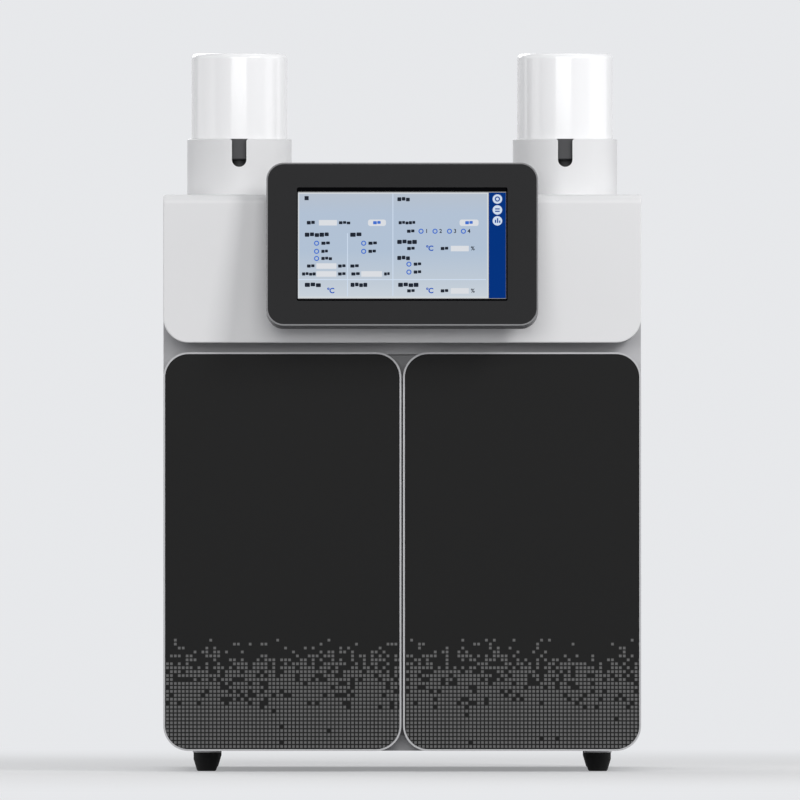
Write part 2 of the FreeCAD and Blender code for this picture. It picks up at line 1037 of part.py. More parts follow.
def foot_screws():
    """Screws up through feet, rings, wrap and pan, each with its nut."""
    pieces = []
    top = z_body + s.sheet_wall * 2
    head_low = s.foot_counterbore_depth - s.foot_screw_head_height
    for x, y in foot_spots:
        shank = top + s.foot_nut_height - s.foot_counterbore_depth
        pieces.append(
            rod("head", "z", x, y, head_low, s.foot_screw_head_radius, s.foot_screw_head_height)
        )
        pieces.append(
            rod("shank", "z", x, y, s.foot_counterbore_depth, s.foot_screw_radius, shank)
        )
        pieces.append(rod("nut", "z", x, y, top, s.foot_screw_head_radius, s.foot_nut_height))
    return keep(fuse("foot_screws", pieces), "foot_screws")


# Doors


def door_span(side):
    near, far = side * s.door_split / 2, side * half_width
    return (near, far) if side > 0 else (far, near)


def turning_corner(side):
    """The part outside the arc that a door's back corner turns through, seen from above."""
    edge = side * half_width
    reach = s.hinge_offset + 1
    return loop(
        [
            (edge + side * 2, y_door_back - reach, 0),
            (edge + side * 2, y_door_back + 2, 0),
            (edge - side * reach, y_door_back + 2, 0),
            (edge - side * reach, y_door_back, 0),
            (edge, y_door_back, s.hinge_offset),
            (edge, y_door_back - reach, 0),
        ]
    )


def door_ribs(left, right):
    """The crossing ribs in the hollow back of a door: three upright, seven level."""
    band = s.door_band
    half = s.door_rib_thickness / 2
    low, high = z_body + band, z_door_top - band
    near, far = left + band, right - band
    columns = [near + (far - near) * (part / DOOR_CELLS_WIDE) for part in range(1, DOOR_CELLS_WIDE)]
    rows = [low + (high - low) * (part / DOOR_CELLS_HIGH) for part in range(1, DOOR_CELLS_HIGH)]
    upright = [rect(x - half, x + half, low, high) for x in columns]
    level = [rect(near, far, z - half, z + half) for z in rows]
    return upright, level


def door_frame(label, side):
    """A moulded door, hollow and ribbed at the back, with a seat for its panel, hinge notches and
    magnet pockets."""
    body = new_body(label)
    left, right = door_span(side)
    rim = s.door_rim
    band = s.door_band
    radius = s.corner_radius
    y_seat = y_door + s.door_panel_thickness
    slab(body, "XZ", y_door, y_door_back, rect(left, right, z_body, z_door_top, radius))
    carve(body, "XY", z_body, z_door_top, turning_corner(side))
    carve(
        body,
        "XZ",
        y_door,
        y_seat,
        rect(left + rim, right - rim, z_body + rim, z_door_top - rim, radius - rim),
    )
    carve(
        body,
        "XZ",
        y_door_back - s.door_recess,
        y_door_back,
        rect(left + band, right - band, z_body + band, z_door_top - band, radius - band),
    )
    y_hollow = y_door_back - s.door_recess
    for ribs in door_ribs(left, right):
        slab(body, "XZ", y_hollow, y_hollow + s.door_rib_height, *ribs)
    reach_x = s.hinge_arm_width / 2 + s.hinge_side_gap
    reach_z = s.hinge_arm_height / 2 + s.hinge_side_gap
    inner = side * (x_hinge - reach_x)
    outer = side * half_width
    low, high = (inner, outer) if side > 0 else (outer, inner)
    y_notch = y_hinge - s.hinge_arm_width / 2 - s.hinge_nose_gap
    notches = [rect(low, high, z - reach_z, z + reach_z) for z in hinge_heights]
    carve(body, "XZ", y_notch, y_door_back, *notches)
    half_pin = s.hinge_pin_length / 2
    for z in hinge_heights:
        bore = disc(side * x_hinge, y_hinge, s.hinge_pin_radius)
        carve(body, "XY", z - half_pin, z + half_pin, bore)
    x_magnet = side * (s.door_split / 2 + s.magnet_edge)
    half = s.magnet_width / 2 + s.turning_gap
    tall = s.magnet_height / 2 + s.turning_gap
    pockets = [
        rect(x_magnet - half, x_magnet + half, z - tall, z + tall) for z in magnet_heights
    ]
    carve(body, "XZ", y_door_back - s.magnet_thickness, y_door_back, *pockets)
    return keep(body, label)


def door_panel(label, side):
    """The dark front sheet of a door."""
    body = new_body(label)
    left, right = door_span(side)
    inset = s.door_rim + s.turning_gap
    slab(
        body,
        "XZ",
        y_door,
        y_door + s.door_panel_thickness,
        rect(
            left + inset,
            right - inset,
            z_body + inset,
            z_door_top - inset,
            s.corner_radius - inset,
        ),
    )
    return keep(body, label)


def door_magnets(label, side):
    x = side * (s.door_split / 2 + s.magnet_edge)
    half = s.magnet_width / 2
    tall = s.magnet_height / 2
    front = y_door_back - s.magnet_thickness
    magnets = [
        block("magnet", x - half, x + half, front, y_door_back, z - tall, z + tall)
        for z in magnet_heights
    ]
    return keep(fuse(label, magnets), label)


def hinge_arms():
    """Arms fixed behind the frame that reach forward to the hinge pins."""
    half_wide = s.hinge_arm_width / 2
    half_tall = s.hinge_arm_height / 2
    half_flange = s.hinge_flange_width / 2
    half_flange_tall = s.hinge_flange_height / 2
    y_flange = y_shell + s.hinge_flange_thickness
    solids = []
    bores = []
    bore = s.hinge_pin_radius + s.turning_gap
    for x, z in [(side * x_hinge, z) for side in (-1, 1) for z in hinge_heights]:
        low, high = z - half_tall, z + half_tall
        solids.append(block("arm", x - half_wide, x + half_wide, y_hinge, y_shell, low, high))
        solids.append(rod("nose", "z", x, y_hinge, low, half_wide, s.hinge_arm_height))
        solids.append(
            block(
                "flange",
                x - half_flange,
                x + half_flange,
                y_shell,
                y_flange,
                z - half_flange_tall,
                z + half_flange_tall,
            )
        )
        bores.append(rod("bore", "z", x, y_hinge, low, bore, s.hinge_arm_height))
    return keep(cut("hinge_arms", fuse("hinge_arm_solids", solids), bores), "hinge_arms")


def hinge_pins(label, side):
    pins = [
        rod(
            "pin",
            "z",
            side * x_hinge,
            y_hinge,
            z - s.hinge_pin_length / 2,
            s.hinge_pin_radius,
            s.hinge_pin_length,
        )
        for z in hinge_heights
    ]
    return keep(fuse(label, pins), label)


# Display, drawn upright about its pivot and then tilted back


def tilt_back(body):
    body.Placement = Placement(Vector(), Rotation(Vector(-1, 0, 0), s.display_tilt.value))
    place(body, 0, y_pivot, z_pivot)
    bind(body, "Placement.Rotation.Angle", s.display_tilt)
    return body


def centred(width, height, radius=0):
    return rect(-width / 2, width / 2, -height / 2, height / 2, radius)


def display_shell():
    """The rear housing of the display with its hinge barrel."""
    body = new_body("display_shell")
    glass = -pivot_to_glass
    back = -s.display_hub_gap
    width, height, radius = s.display_width, s.display_height, s.display_corner_radius
    slab(body, "XZ", glass, back, centred(width, height, radius))
    round_edges(body, s.display_back_radius, edges_at(body.Tip.Shape, x=0, y=back, z=height / 2))
    rim = s.display_rim
    seat = glass + s.bezel_thickness
    carve(body, "XZ", glass, seat, centred(width - 2 * rim, height - 2 * rim, radius - rim))
    margin = s.display_margin
    carve(
        body,
        "XZ",
        seat,
        back - s.moulded_wall,
        centred(width - 2 * margin, height - 2 * margin, radius - margin),
    )
    half_hub = s.display_hub_width / 2
    hub = s.display_hub_radius
    slab(body, "XZ", back, 0, rect(-half_hub, half_hub, -hub, hub))
    slab(body, "YZ", -half_hub, half_hub, disc(0, 0, hub))
    carve(body, "YZ", -half_hub, half_hub, disc(0, 0, s.display_pin_radius))
    return keep(tilt_back(body), "display_shell")


def display_bezel():
    """The black front with the window for the screen."""
    body = new_body("display_bezel")
    glass = -pivot_to_glass
    inset = 2 * (s.display_rim + s.turning_gap)
    radius = s.display_corner_radius - s.display_rim - s.turning_gap
    slab(
        body,
        "XZ",
        glass,
        glass + s.bezel_thickness,
        centred(s.display_width - inset, s.display_height - inset, radius),
        centred(s.display_window_width, s.display_window_height, s.display_window_radius),
    )
    return keep(tilt_back(body), "display_bezel")


def lcd_panel():
    body = new_body("lcd_panel")
    front = s.bezel_thickness - pivot_to_glass
    lap = 2 * s.lcd_overlap
    wide, tall = s.display_window_width + lap, s.display_window_height + lap
    outline = centred(wide, tall, s.lcd_corner_radius)
    slab(body, "XZ", front, front + s.lcd_thickness, outline)
    return keep(tilt_back(body), "lcd_panel")


def display_bracket():
    """The plate and ears on the head that the display turns on."""
    body = new_body("display_bracket")
    half_hub = s.display_hub_width / 2 + s.fit_gap
    reach = s.display_hub_gap - s.bracket_clearance
    nose = y_pivot - reach
    bend = reach - s.bracket_nose_flat / 2
    plate = rect(
        -s.bracket_width / 2,
        s.bracket_width / 2,
        z_pivot - s.bracket_height / 2,
        z_pivot + s.bracket_height / 2,
        s.bracket_corner_radius,
    )
    slab(body, "XZ", y_head - s.bracket_plate, y_head, plate)
    for near, far in (
        (half_hub, half_hub + s.bracket_ear),
        (-half_hub - s.bracket_ear, -half_hub),
    ):
        ear = loop(
            [
                (nose, z_pivot - reach, bend),
                (y_head, z_pivot - reach, 0),
                (y_head, z_pivot + reach, 0),
                (nose, z_pivot + reach, bend),
            ]
        )
        slab(body, "YZ", near, far, ear)
    bore = disc(y_pivot, z_pivot, s.display_pin_radius + s.turning_gap)
    outer = half_hub + s.bracket_ear
    carve(body, "YZ", -outer, outer, bore)
    return keep(body, "display_bracket")


def display_pin():
    half = s.display_hub_width / 2 + s.fit_gap + s.bracket_ear + 1
    pin = rod("display_pin", "x", -half, y_pivot, z_pivot, s.display_pin_radius, 2 * half)
    return keep(pin, "display_pin")


# Canisters and their holders, drawn about their own axis with height 0 at the top of the cover


def holder(label, side):
    """A slotted collar with a floor."""
    outer = s.holder_radius
    inner = outer - s.holder_wall
    tall = s.holder_height
    edge = s.holder_edge
    body = turned(
        label,
        polygon(
            [
                (0, 0),
                (outer, 0),
                (outer, tall - edge),
                (outer - edge, tall),
                (inner + edge, tall),
                (inner, tall - edge),
                (inner, s.holder_floor),
                (0, s.holder_floor),
            ]
        ),
    )
    half = s.slot_width / 2
    flare = s.slot_flare
    wide = half + flare * 2
    round_level = tall - s.slot_depth + half
    mouth = loop(
        [
            (-half, round_level, 0),
            (half, round_level, 0),
            (half, tall, flare),
            (wide, tall, 0),
            (wide, tall + 1, 0),
            (-wide, tall + 1, 0),
            (-wide, tall, 0),
            (-half, tall, flare),
        ]
    )
    carve(body, "XZ", -outer, 0, mouth)
    carve(body, "XZ", -outer, 0, disc(0, round_level, half))
    place(body, side * x_canister, y_canister, z_top)
    return keep(body, label)


def canister_base(label, side):
    """The dark ring that the cover stands on, with its foot in the holder."""
    ring = s.canister_radius - s.fit_gap
    foot = s.holder_floor - s.holder_height
    spigot = s.canister_radius - s.canister_wall - s.fit_gap
    body = turned(
        label,
        polygon(
            [
                (0, foot),
                (s.canister_foot_radius, foot),
                (s.canister_foot_radius, -s.canister_ring_height),
                (ring - 1, -s.canister_ring_height),
                (ring, 1 - s.canister_ring_height),
                (ring, 0),
                (spigot, 0),
                (spigot, s.canister_spigot_height),
                (0, s.canister_spigot_height),
            ]
        ),
    )
    place(body, side * x_canister, y_canister, z_top + s.holder_height)
    return keep(body, label)


def canister_cover(label, side):
    """The gloss white cup over the cell."""
    outer = s.canister_radius
    inner = outer - s.canister_wall
    tall = s.canister_height
    edge = s.canister_edge_radius
    body = turned(
        label,
        loop(
            [
                (inner, 0, 0),
                (outer, 0, 0),
                (outer, tall, edge),
                (0, tall, 0),
                (0, tall - s.canister_wall, 0),
                (inner, tall - s.canister_wall, 0),
            ]
        ),
    )
    place(body, side * x_canister, y_canister, z_top + s.holder_height)
    return keep(body, label)


# Flow path: modules on the back walls of the bays, joined by capillaries in one upright plane


def pump_head(label, x):
    """A pump head with the housings of its check valves above and below."""
    body = new_body(label)
    half = s.pump_block / 2
    front = y_flow - s.pump_front
    block_face = rect(x - half, x + half, z_pump - half, z_pump + half, s.pump_edge_radius)
    slab(body, "XZ", front, y_bay_wall, block_face)
    reach = half + s.check_valve_length
    housing = disc(x, y_flow, s.check_valve_radius)
    slab(body, "XY", z_pump - reach, z_pump + reach, housing)
    slab(body, "XZ", y_bay_wall, y_bay_back, disc(x, z_pump, s.pump_neck_radius))
    slab(body, "XZ", front - s.pump_cap_height, front, disc(x, z_pump, s.pump_cap_radius))
    screw = half - s.pump_screw_inset
    heads = [
        disc(x + across * screw, z_pump + up * screw, s.pump_screw_radius)
        for across in (-1, 1)
        for up in (-1, 1)
    ]
    slab(body, "XZ", front - s.pump_screw_height, front, *heads)
    return keep(body, label)


def pump_drive():
    """The motor and cam housing behind the pump heads."""
    body = new_body("pump_drive")
    half = s.pump_drive_width / 2
    x = (x_pumps[0] + x_pumps[1]) / 2
    low = z_pump - s.pump_drive_height / 2
    high = z_pump + s.pump_drive_height / 2
    back = y_bay_back + s.pump_drive_length
    housing = rect(x - half, x + half, low, high, s.housing_edge_radius)
    slab(body, "XZ", y_bay_back, back, housing)
    slab(body, "XZ", back, back + s.pump_drive_length / 2, disc(x, z_pump, s.pump_block / 2))
    return keep(body, "pump_drive")


def purge_valve_block():
    body = new_body("purge_valve_block")
    half = s.purge_block / 2
    edge = s.module_edge_radius
    front = y_flow - s.purge_block_front
    slab(
        body,
        "XZ",
        front,
        y_bay_wall,
        rect(x_purge - half, x_purge + half, z_purge - half, z_purge + half, edge),
    )
    stem = disc(x_purge, z_purge, s.purge_stem_radius)
    slab(body, "XZ", front - s.purge_stem_length, front, stem)
    return keep(body, "purge_valve_block")


def polar(body, feature, axis, count):
    """Repeats a feature around one of the body's own axes."""
    pattern = body.newObject("PartDesign::PolarPattern", f"{body.Name}_pattern")
    pattern.Originals = [feature]
    pattern.Axis = (origin_feature(body, axis), [""])
    pattern.Angle = 360
    pattern.Occurrences = count
    body.Tip = pattern
    doc.recompute()
    return pattern


def purge_valve_knob():
    """A fluted knob that turns on the stem of the purge valve."""
    body = new_body("purge_valve_knob")
    long = s.purge_knob_length
    radius = s.purge_knob_radius
    slab(body, "XZ", -long, 0, disc(0, 0, radius))
    flute_shape = disc(0, radius + s.knob_flute_offset, s.knob_flute_radius)
    flute = carve(body, "XZ", -long, -s.knob_collar, flute_shape)
    polar(body, flute, "Y_Axis", KNOB_FLUTES)
    bore = s.purge_stem_radius + s.turning_gap
    carve(body, "XZ", s.knob_face - long, 0, disc(0, 0, bore))
    half_mark = s.knob_mark_width / 2
    mark = rect(-half_mark, half_mark, s.knob_mark_margin, radius - s.knob_mark_margin)
    carve(body, "XZ", -long, s.knob_mark_depth - long, mark)
    place(body, x_purge, y_flow - s.purge_block_front - s.fit_gap, z_purge)
    return keep(body, "purge_valve_knob")


def degasser():
    """The closed vacuum chamber for the eluent, with its channel ports."""
    body = new_body("degasser")
    left, right = -across_bay(0.92), -across_bay(0.2)
    low, high = up_bay(0.75), up_bay(0.94)
    front = y_bay_wall - s.degasser_depth
    slab(body, "XZ", front, y_bay_wall, rect(left, right, low, high, s.housing_edge_radius))
    step = (right - left) / (DEGASSER_CHANNELS + 1)
    level = low + (high - low) * 0.3
    bosses = [
        disc(left + step * (i + 1), level, s.fitting_radius) for i in range(DEGASSER_CHANNELS)
    ]
    slab(body, "XZ", front - s.degasser_port_height, front, *bosses)
    return keep(body, "degasser")


def injection_valve():
    """The six-port valve: a round housing with its stator in the plane of the capillaries."""
    body = new_body("injection_valve")
    half = s.stator_length / 2
    slab(body, "XZ", y_flow + half, y_bay_wall, disc(x_valve, z_valve, s.valve_radius))
    stator = disc(x_valve, z_valve, s.stator_radius)
    slab(body, "XZ", y_flow - half, y_flow + half, stator)
    cap = disc(x_valve, z_valve, s.valve_cap_radius)
    slab(body, "XZ", y_flow - half - s.valve_cap_height, y_flow - half, cap)
    return keep(body, "injection_valve")


def column_heater():
    body = new_body("column_heater")
    left, right = across_bay(0.6), across_bay(0.94)
    low, high = z_column_low - s.heater_margin, z_column_high + s.heater_margin
    slab(
        body,
        "XZ",
        y_bay_wall - s.heater_depth,
        y_bay_wall,
        rect(left, right, low, high, s.heater_edge_radius),
    )
    return keep(body, "column_heater")


def separation_column():
    tall = z_column_high - z_column_low
    end = s.column_end_length
    body = turned(
        "separation_column",
        loop(
            [
                (0, 0, 0),
                (s.column_end_radius, 0, 0),
                (s.column_end_radius, end, 0),
                (s.column_radius, end, 0),
                (s.column_radius, tall - end, 0),
                (s.column_end_radius, tall - end, 0),
                (s.column_end_radius, tall, 0),
                (0, tall, 0),
            ]
        ),
    )
    place(body, x_column, y_flow, z_column_low)
    return keep(body, "separation_column")


def column_clips():
    """Two spring clips on the heater, open to the front."""
    half = s.clip_width / 2
    tall = z_column_high - z_column_low
    solids = []
    tools = []
    back = y_bay_wall - s.heater_depth
    front = y_flow - s.column_radius
    for part in CLIP_PLACES:
        low = z_column_low + tall * part - s.clip_height / 2
        high = low + s.clip_height
        solids.append(block("clip", x_column - half, x_column + half, front, back, low, high))
        tools.append(
            rod("seat", "z", x_column, y_flow, low, s.column_radius, s.clip_height)
        )
        mouth = s.clip_mouth / 2
        tools.append(
            block("mouth", x_column - mouth, x_column + mouth, front, y_flow, low, high)
        )
    return keep(cut("column_clips", fuse("clip_blocks", solids), tools), "column_clips")


def suppressor():
    body = new_body("suppressor")
    half = s.suppressor_width / 2
    front = y_flow - s.suppressor_front
    left, right = x_suppressor - half, x_suppressor + half
    edge = s.module_edge_radius
    outline = rect(left, right, z_suppressor_low, z_suppressor_high, edge)
    slab(body, "XZ", front, y_bay_wall, outline)
    plate = rect(
        left + s.suppressor_side_margin,
        right - s.suppressor_side_margin,
        z_suppressor_low + s.suppressor_end_margin,
        z_suppressor_high - s.suppressor_end_margin,
        edge,
    )
    slab(body, "XZ", front - s.suppressor_plate, front, plate)
    return keep(body, "suppressor")


def conductivity_cell():
    body = new_body("conductivity_cell")
    front = y_flow - s.cell_front
    slab(body, "XZ", front, y_bay_wall, disc(x_cell, z_cell, s.cell_radius))
    cap = disc(x_cell, z_cell, s.cell_radius - s.cell_cap_margin)
    slab(body, "XZ", front - s.cell_cap_height, front, cap)
    flat = s.fitting_radius + s.cell_boss_margin
    top = z_cell + s.cell_radius
    boss = rect(x_cell - flat, x_cell + flat, z_cell, top)
    slab(body, "XZ", y_flow - flat, y_flow + flat, boss)
    return keep(body, "conductivity_cell")


def finger_fittings():
    """The finger-tight fittings of the flow path, one at each port."""
    nuts = []
    bores = []

    def fitting(x, y, z, angle, open_bore):
        nut = doc.addObject("Part::Prism", "nut")
        nut.Polygon = NUT_SIDES
        bind(nut, "Circumradius", s.fitting_radius)
        bind(nut, "Height", s.fitting_length)
        turn = Rotation(Vector(0, 1, 0), 90 - angle)
        nut.Placement = Placement(Vector(), turn)
        nuts.append(place(nut, x, y, z))
        if open_bore:
            bore = doc.addObject("Part::Cylinder", "nut_bore")
            bind(bore, "Radius", s.tube_radius)
            bind(bore, "Height", s.fitting_length)
            bore.Placement = Placement(Vector(), turn)
            bores.append(place(bore, x, y, z))

    top = z_pump + s.pump_block / 2 + s.check_valve_length
    for x in x_pumps:
        fitting(x, y_flow, top, 90, True)
    for angle in PORT_ANGLES:
        x = x_valve + s.stator_radius * math.cos(math.radians(angle))
        z = z_valve + s.stator_radius * math.sin(math.radians(angle))
        fitting(x, y_flow, z, angle, angle == 90)
    fitting(x_column, y_flow, z_column_high, 90, True)
    fitting(x_column, y_flow, z_column_low, 270, True)
    fitting(x_suppressor, y_flow, z_suppressor_low, 270, True)
    fitting(x_suppressor, y_flow, z_suppressor_high, 90, True)
    fitting(x_cell, y_flow, z_cell + s.cell_radius, 90, True)
    return keep(cut("finger_fittings", fuse("nut_solids", nuts), bores), "finger_fittings")


def path(corners):
    """Draws an open line of level and upright runs with round bends."""
    corners = [[as_size(size) for size in corner] for corner in corners]
    last = len(corners) - 1

    def draw(sketch):
        spots = [Vector(across.value, up.value, 0) for across, up, _ in corners]
        steps = [(spots[i + 1] - spots[i]).normalize() for i in range(last)]
        for i in range(last):
            start = spots[i] + steps[i] * corners[i][2].value
            end = spots[i + 1] - steps[i] * corners[i + 1][2].value
            sketch.addGeometry(Part.LineSegment(start, end), False)
            level = abs(steps[i].x) > 0.5
            join(sketch, "Horizontal" if level else "Vertical", i)
            if level:
                measure(sketch, corners[i][1], "DistanceY", *ORIGIN, i, 1)
            else:
                measure(sketch, corners[i][0], "DistanceX", *ORIGIN, i, 1)
        measure(sketch, corners[0][1], "DistanceY", *ORIGIN, 0, 1)
        measure(sketch, corners[-1][1], "DistanceY", *ORIGIN, last - 1, 2)
        for i in range(1, last):
            radius = corners[i][2]
            arriving, leaving = steps[i - 1], steps[i]
            centre = spots[i] + (leaving - arriving) * radius.value
            turns_left = arriving.cross(leaving).z > 0
            start, end = (-leaving, arriving) if turns_left else (arriving, -leaving)
            low = math.atan2(start.y, start.x)
            high = math.atan2(end.y, end.x)
            if high < low:
                high += 2 * math.pi
            circle = Part.Circle(centre, Vector(0, 0, 1), radius.value)
            arc = sketch.addGeometry(Part.ArcOfCircle(circle, low, high), False)
            join(sketch, "Tangent", i - 1, 2, arc, 1 if turns_left else 2)
            join(sketch, "Tangent", i, 1, arc, 2 if turns_left else 1)
            measure(sketch, radius, "Radius", arc)

    return draw


def capillary(label, start, end, level):
    """A tube between two ports, upright at both and level at the given height in between."""
    body = new_body(label)
    (x_start, z_start), (x_end, z_end) = start, end
    bend = s.tube_bend
    spine = sketch_at(
        body,
        "XZ",
        y_flow,
        [
            path(
                [
                    (x_start, z_start, 0),
                    (x_start, level, bend),
                    (x_end, level, bend),
                    (x_end, z_end, 0),
                ]
            )
        ],
    )
    profile = sketch_at(body, "XY", z_start, [disc(x_start, y_flow, s.tube_radius)])
    pipe = body.newObject("PartDesign::AdditivePipe", f"{label}_pipe")
    pipe.Profile = profile
    pipe.Spine = spine
    doc.recompute()
    return keep(body, label)


def capillaries():
    top = z_pump + s.pump_block / 2 + s.check_valve_length
    rise = s.fitting_length + s.tube_stub + s.tube_bend
    capillary("pump_link_tube", (x_pumps[0], top), (x_pumps[1], top), top + rise)
    z_port_up = z_valve + s.stator_radius
    over = z_port_up + rise
    capillary("column_inlet_tube", (x_valve, z_port_up), (x_column, z_column_high), over)
    under = z_suppressor_low - rise
    capillary(
        "column_outlet_tube", (x_column, z_column_low), (x_suppressor, z_suppressor_low), under
    )
    above = z_suppressor_high + rise
    capillary(
        "cell_tube", (x_suppressor, z_suppressor_high), (x_cell, z_cell + s.cell_radius), above
    )


# Electronics and the fittings of the rear panel


def power_supply():
    body = new_body("power_supply")
    right = x_foot - s.foot_screw_head_radius - s.supply_side_gap
    left = right - s.supply_width
    low = z_body + s.sheet_wall * 2
    back = y_rear_inner - s.supply_rear_gap
    front = back - s.supply_length
    outline = rect(left, right, front, back, s.module_edge_radius)
    slab(body, "XY", low, low + s.supply_height, outline)
    return keep(body, "power_supply")


def main_board():
    """The board on the shelf, with the sockets that show through the rear panel."""
    body = new_body("main_board")
    half = s.board_width / 2
    low = z_board
    high = low + s.board_thickness
    back = y_rear_inner - s.board_rear_gap
    front = back - s.board_length
    slab(body, "XY", low, high, rect(x_board - half, x_board + half, front, back))
    inset = s.standoff_inset
    posts = [
        disc(x_board + side * (half - inset), y, s.standoff_radius)
        for side in (-1, 1)
        for y in (front + inset, back - inset)
    ]
    slab(body, "XY", z_head + s.sheet_wall, low, *posts)
    mouth = y_rear - s.port_recess
    wall = s.port_wall
    for x, width, height in ports:
        left, right, top = x - width / 2, x + width / 2, high + height
        slab(body, "XZ", back - s.port_reach, mouth, rect(left, right, high, top))
        carve(
            body,
            "XZ",
            back - s.port_reach + s.port_floor,
            mouth,
            rect(left + wall, right - wall, high + wall, top - wall),
        )
    chips = [
        rect(
            x_board + s.board_width * left,
            x_board + s.board_width * right,
            front + s.board_length * near,
            front + s.board_length * far,
            s.chip_edge_radius,
        )
        for left, right, near, far in CHIPS
    ]
    slab(body, "XY", high, high + s.chip_height, *chips)
    return keep(body, "main_board")


def fan_housing():
    """The square frame of the fan on the inside of the rear panel."""
    body = new_body("fan_housing")
    half = s.fan_size / 2
    back = y_rear_inner
    front = back - s.fan_depth
    slab(
        body,
        "XZ",
        front,
        back,
        rect(x_fan - half, x_fan + half, z_fan - half, z_fan + half, s.housing_edge_radius),
        disc(x_fan, z_fan, s.fan_bore_radius),
    )
    pitch = s.fan_screw_pitch / 2
    holes = [
        disc(x_fan + across * pitch, z_fan + up * pitch, s.fan_screw_hole_radius)
        for across in (-1, 1)
        for up in (-1, 1)
    ]
    carve(body, "XZ", front, back, *holes)
    bore = s.fan_bore_radius + s.fan_spoke_lap
    thin = s.fan_spoke_width / 2
    seat = front + s.fan_spoke_thickness
    slab(body, "XZ", front, seat, rect(x_fan - bore, x_fan + bore, z_fan - thin, z_fan + thin))
    slab(body, "XZ", front, seat, rect(x_fan - thin, x_fan + thin, z_fan - bore, z_fan + bore))
    slab(body, "XZ", front, seat, disc(x_fan, z_fan, s.fan_hub_radius))
    slab(body, "XZ", seat, seat + s.fan_shaft_length, disc(x_fan, z_fan, s.fan_shaft_radius))
    return keep(body, "fan_housing")


def fan_rotor():
    """A hub with seven pitched blades, turning on the shaft of the fan housing."""
    body = new_body("fan_rotor")
    long = s.fan_rotor_length
    slab(body, "XZ", 0, long, disc(0, 0, s.fan_hub_radius))
    carve(body, "XZ", 0, s.fan_shaft_length, disc(0, 0, s.fan_shaft_radius + s.turning_gap))
    middle = long / 2
    thin = s.fan_blade_thickness / 2
    root = (s.fan_hub_radius - s.fan_blade_lap, s.fan_blade_root_lean, s.fan_blade_root_depth / 2)
    tip = (s.fan_blade_radius, s.fan_blade_tip_lean, s.fan_blade_tip_depth / 2)
    sections = []
    for radius, lean, deep in (root, tip):
        corners = [
            (middle - deep, -lean - thin),
            (middle - deep, thin - lean),
            (middle + deep, lean + thin),
            (middle + deep, lean - thin),
        ]
        sections.append(sketch_at(body, "YZ", radius, [polygon(corners)]))
    blade = body.newObject("PartDesign::AdditiveLoft", "fan_blade")
    blade.Profile = sections[0]
    blade.Sections = sections[1:]
    blade.Ruled = True
    doc.recompute()
    polar(body, blade, "Y_Axis", FAN_BLADES)
    seat = y_rear_inner - s.fan_depth + s.fan_spoke_thickness
    place(body, x_fan, seat + s.fit_gap, z_fan)
    return keep(body, "fan_rotor")


def mains_inlet():
    """The mains socket with its blades and the bay of the rocker switch."""
    body = new_body("mains_inlet")
    half_wide = s.inlet_width / 2
    half_tall = s.inlet_height / 2
    outer = y_rear + s.inlet_flange
    left, right = x_inlet - half_wide, x_inlet + half_wide
    low, high = z_inlet - half_tall, z_inlet + half_tall
    slab(body, "XZ", y_rear, outer, rect(left, right, low, high, s.housing_edge_radius))
    in_wide = inlet_inner_width / 2
    in_tall = inlet_inner_height / 2
    inner = y_rear - s.inlet_depth
    slab(
        body,
        "XZ",
        inner,
        y_rear,
        rect(x_inlet - in_wide, x_inlet + in_wide, z_inlet - in_tall, z_inlet + in_tall),
    )
    plug_x = x_inlet - s.inlet_width * 0.2
    plug_half = s.plug_width / 2
    plug_tall = s.plug_height / 2
    left, right = plug_x - plug_half, plug_x + plug_half
    low, high = z_inlet - plug_tall, z_inlet + plug_tall
    well = rect(left, right, low, high, s.plug_corner_radius)
    carve(body, "XZ", outer - s.plug_depth, outer, well)
    thin = s.blade_width / 2
    tall = s.blade_height / 2
    pitch = s.blade_pitch
    spots = (
        (plug_x - pitch, z_inlet - s.blade_drop),
        (plug_x, z_inlet + s.blade_rise),
        (plug_x + pitch, z_inlet - s.blade_drop),
    )
    blades = [rect(x - thin, x + thin, z - tall, z + tall) for x, z in spots]
    slab(body, "XZ", outer - s.plug_depth, outer - s.blade_recess, *blades)
    rock_wide = s.rocker_width / 2 + s.fit_gap
    rock_tall = s.rocker_height / 2 + s.rocker_end_gap
    left, right = x_rocker - rock_wide, x_rocker + rock_wide
    rocker_bay = rect(left, right, z_inlet - rock_tall, z_inlet + rock_tall)
    carve(body, "XZ", outer - s.rocker_depth - s.rocker_well, outer, rocker_bay)
    bearing = disc(y_rocker, z_inlet, s.rocker_pin_radius + s.turning_gap)
    reach = rock_wide + s.rocker_bearing_depth
    carve(body, "YZ", x_rocker - reach, x_rocker + reach, bearing)
    return keep(body, "mains_inlet")


x_rocker = x_inlet + s.inlet_width * 0.25
y_rocker = y_rear + s.inlet_flange - s.rocker_depth * 0.55


def power_switch():
    """The rocker, dished in the middle, on its two stub pins."""
    body = new_body("power_switch")
    half = s.rocker_width / 2
    tall = s.rocker_height / 2
    front = s.rocker_depth * 0.55
    outline = polygon(
        [
            (-s.rocker_depth * 0.45, -tall * 0.6),
            (front * 0.4, -tall),
            (front + s.rocker_high_end, -tall),
            (front * 0.8, 0),
            (front + s.rocker_low_end, tall),
            (front * 0.4, tall),
            (-s.rocker_depth * 0.45, tall * 0.6),
        ]
    )
    slab(body, "YZ", -half, half, outline)
    reach = half + s.rocker_pin_length
    slab(body, "YZ", -reach, reach, disc(0, 0, s.rocker_pin_radius))
    place(body, x_rocker, y_rocker, z_inlet)
    return keep(body, "power_switch")


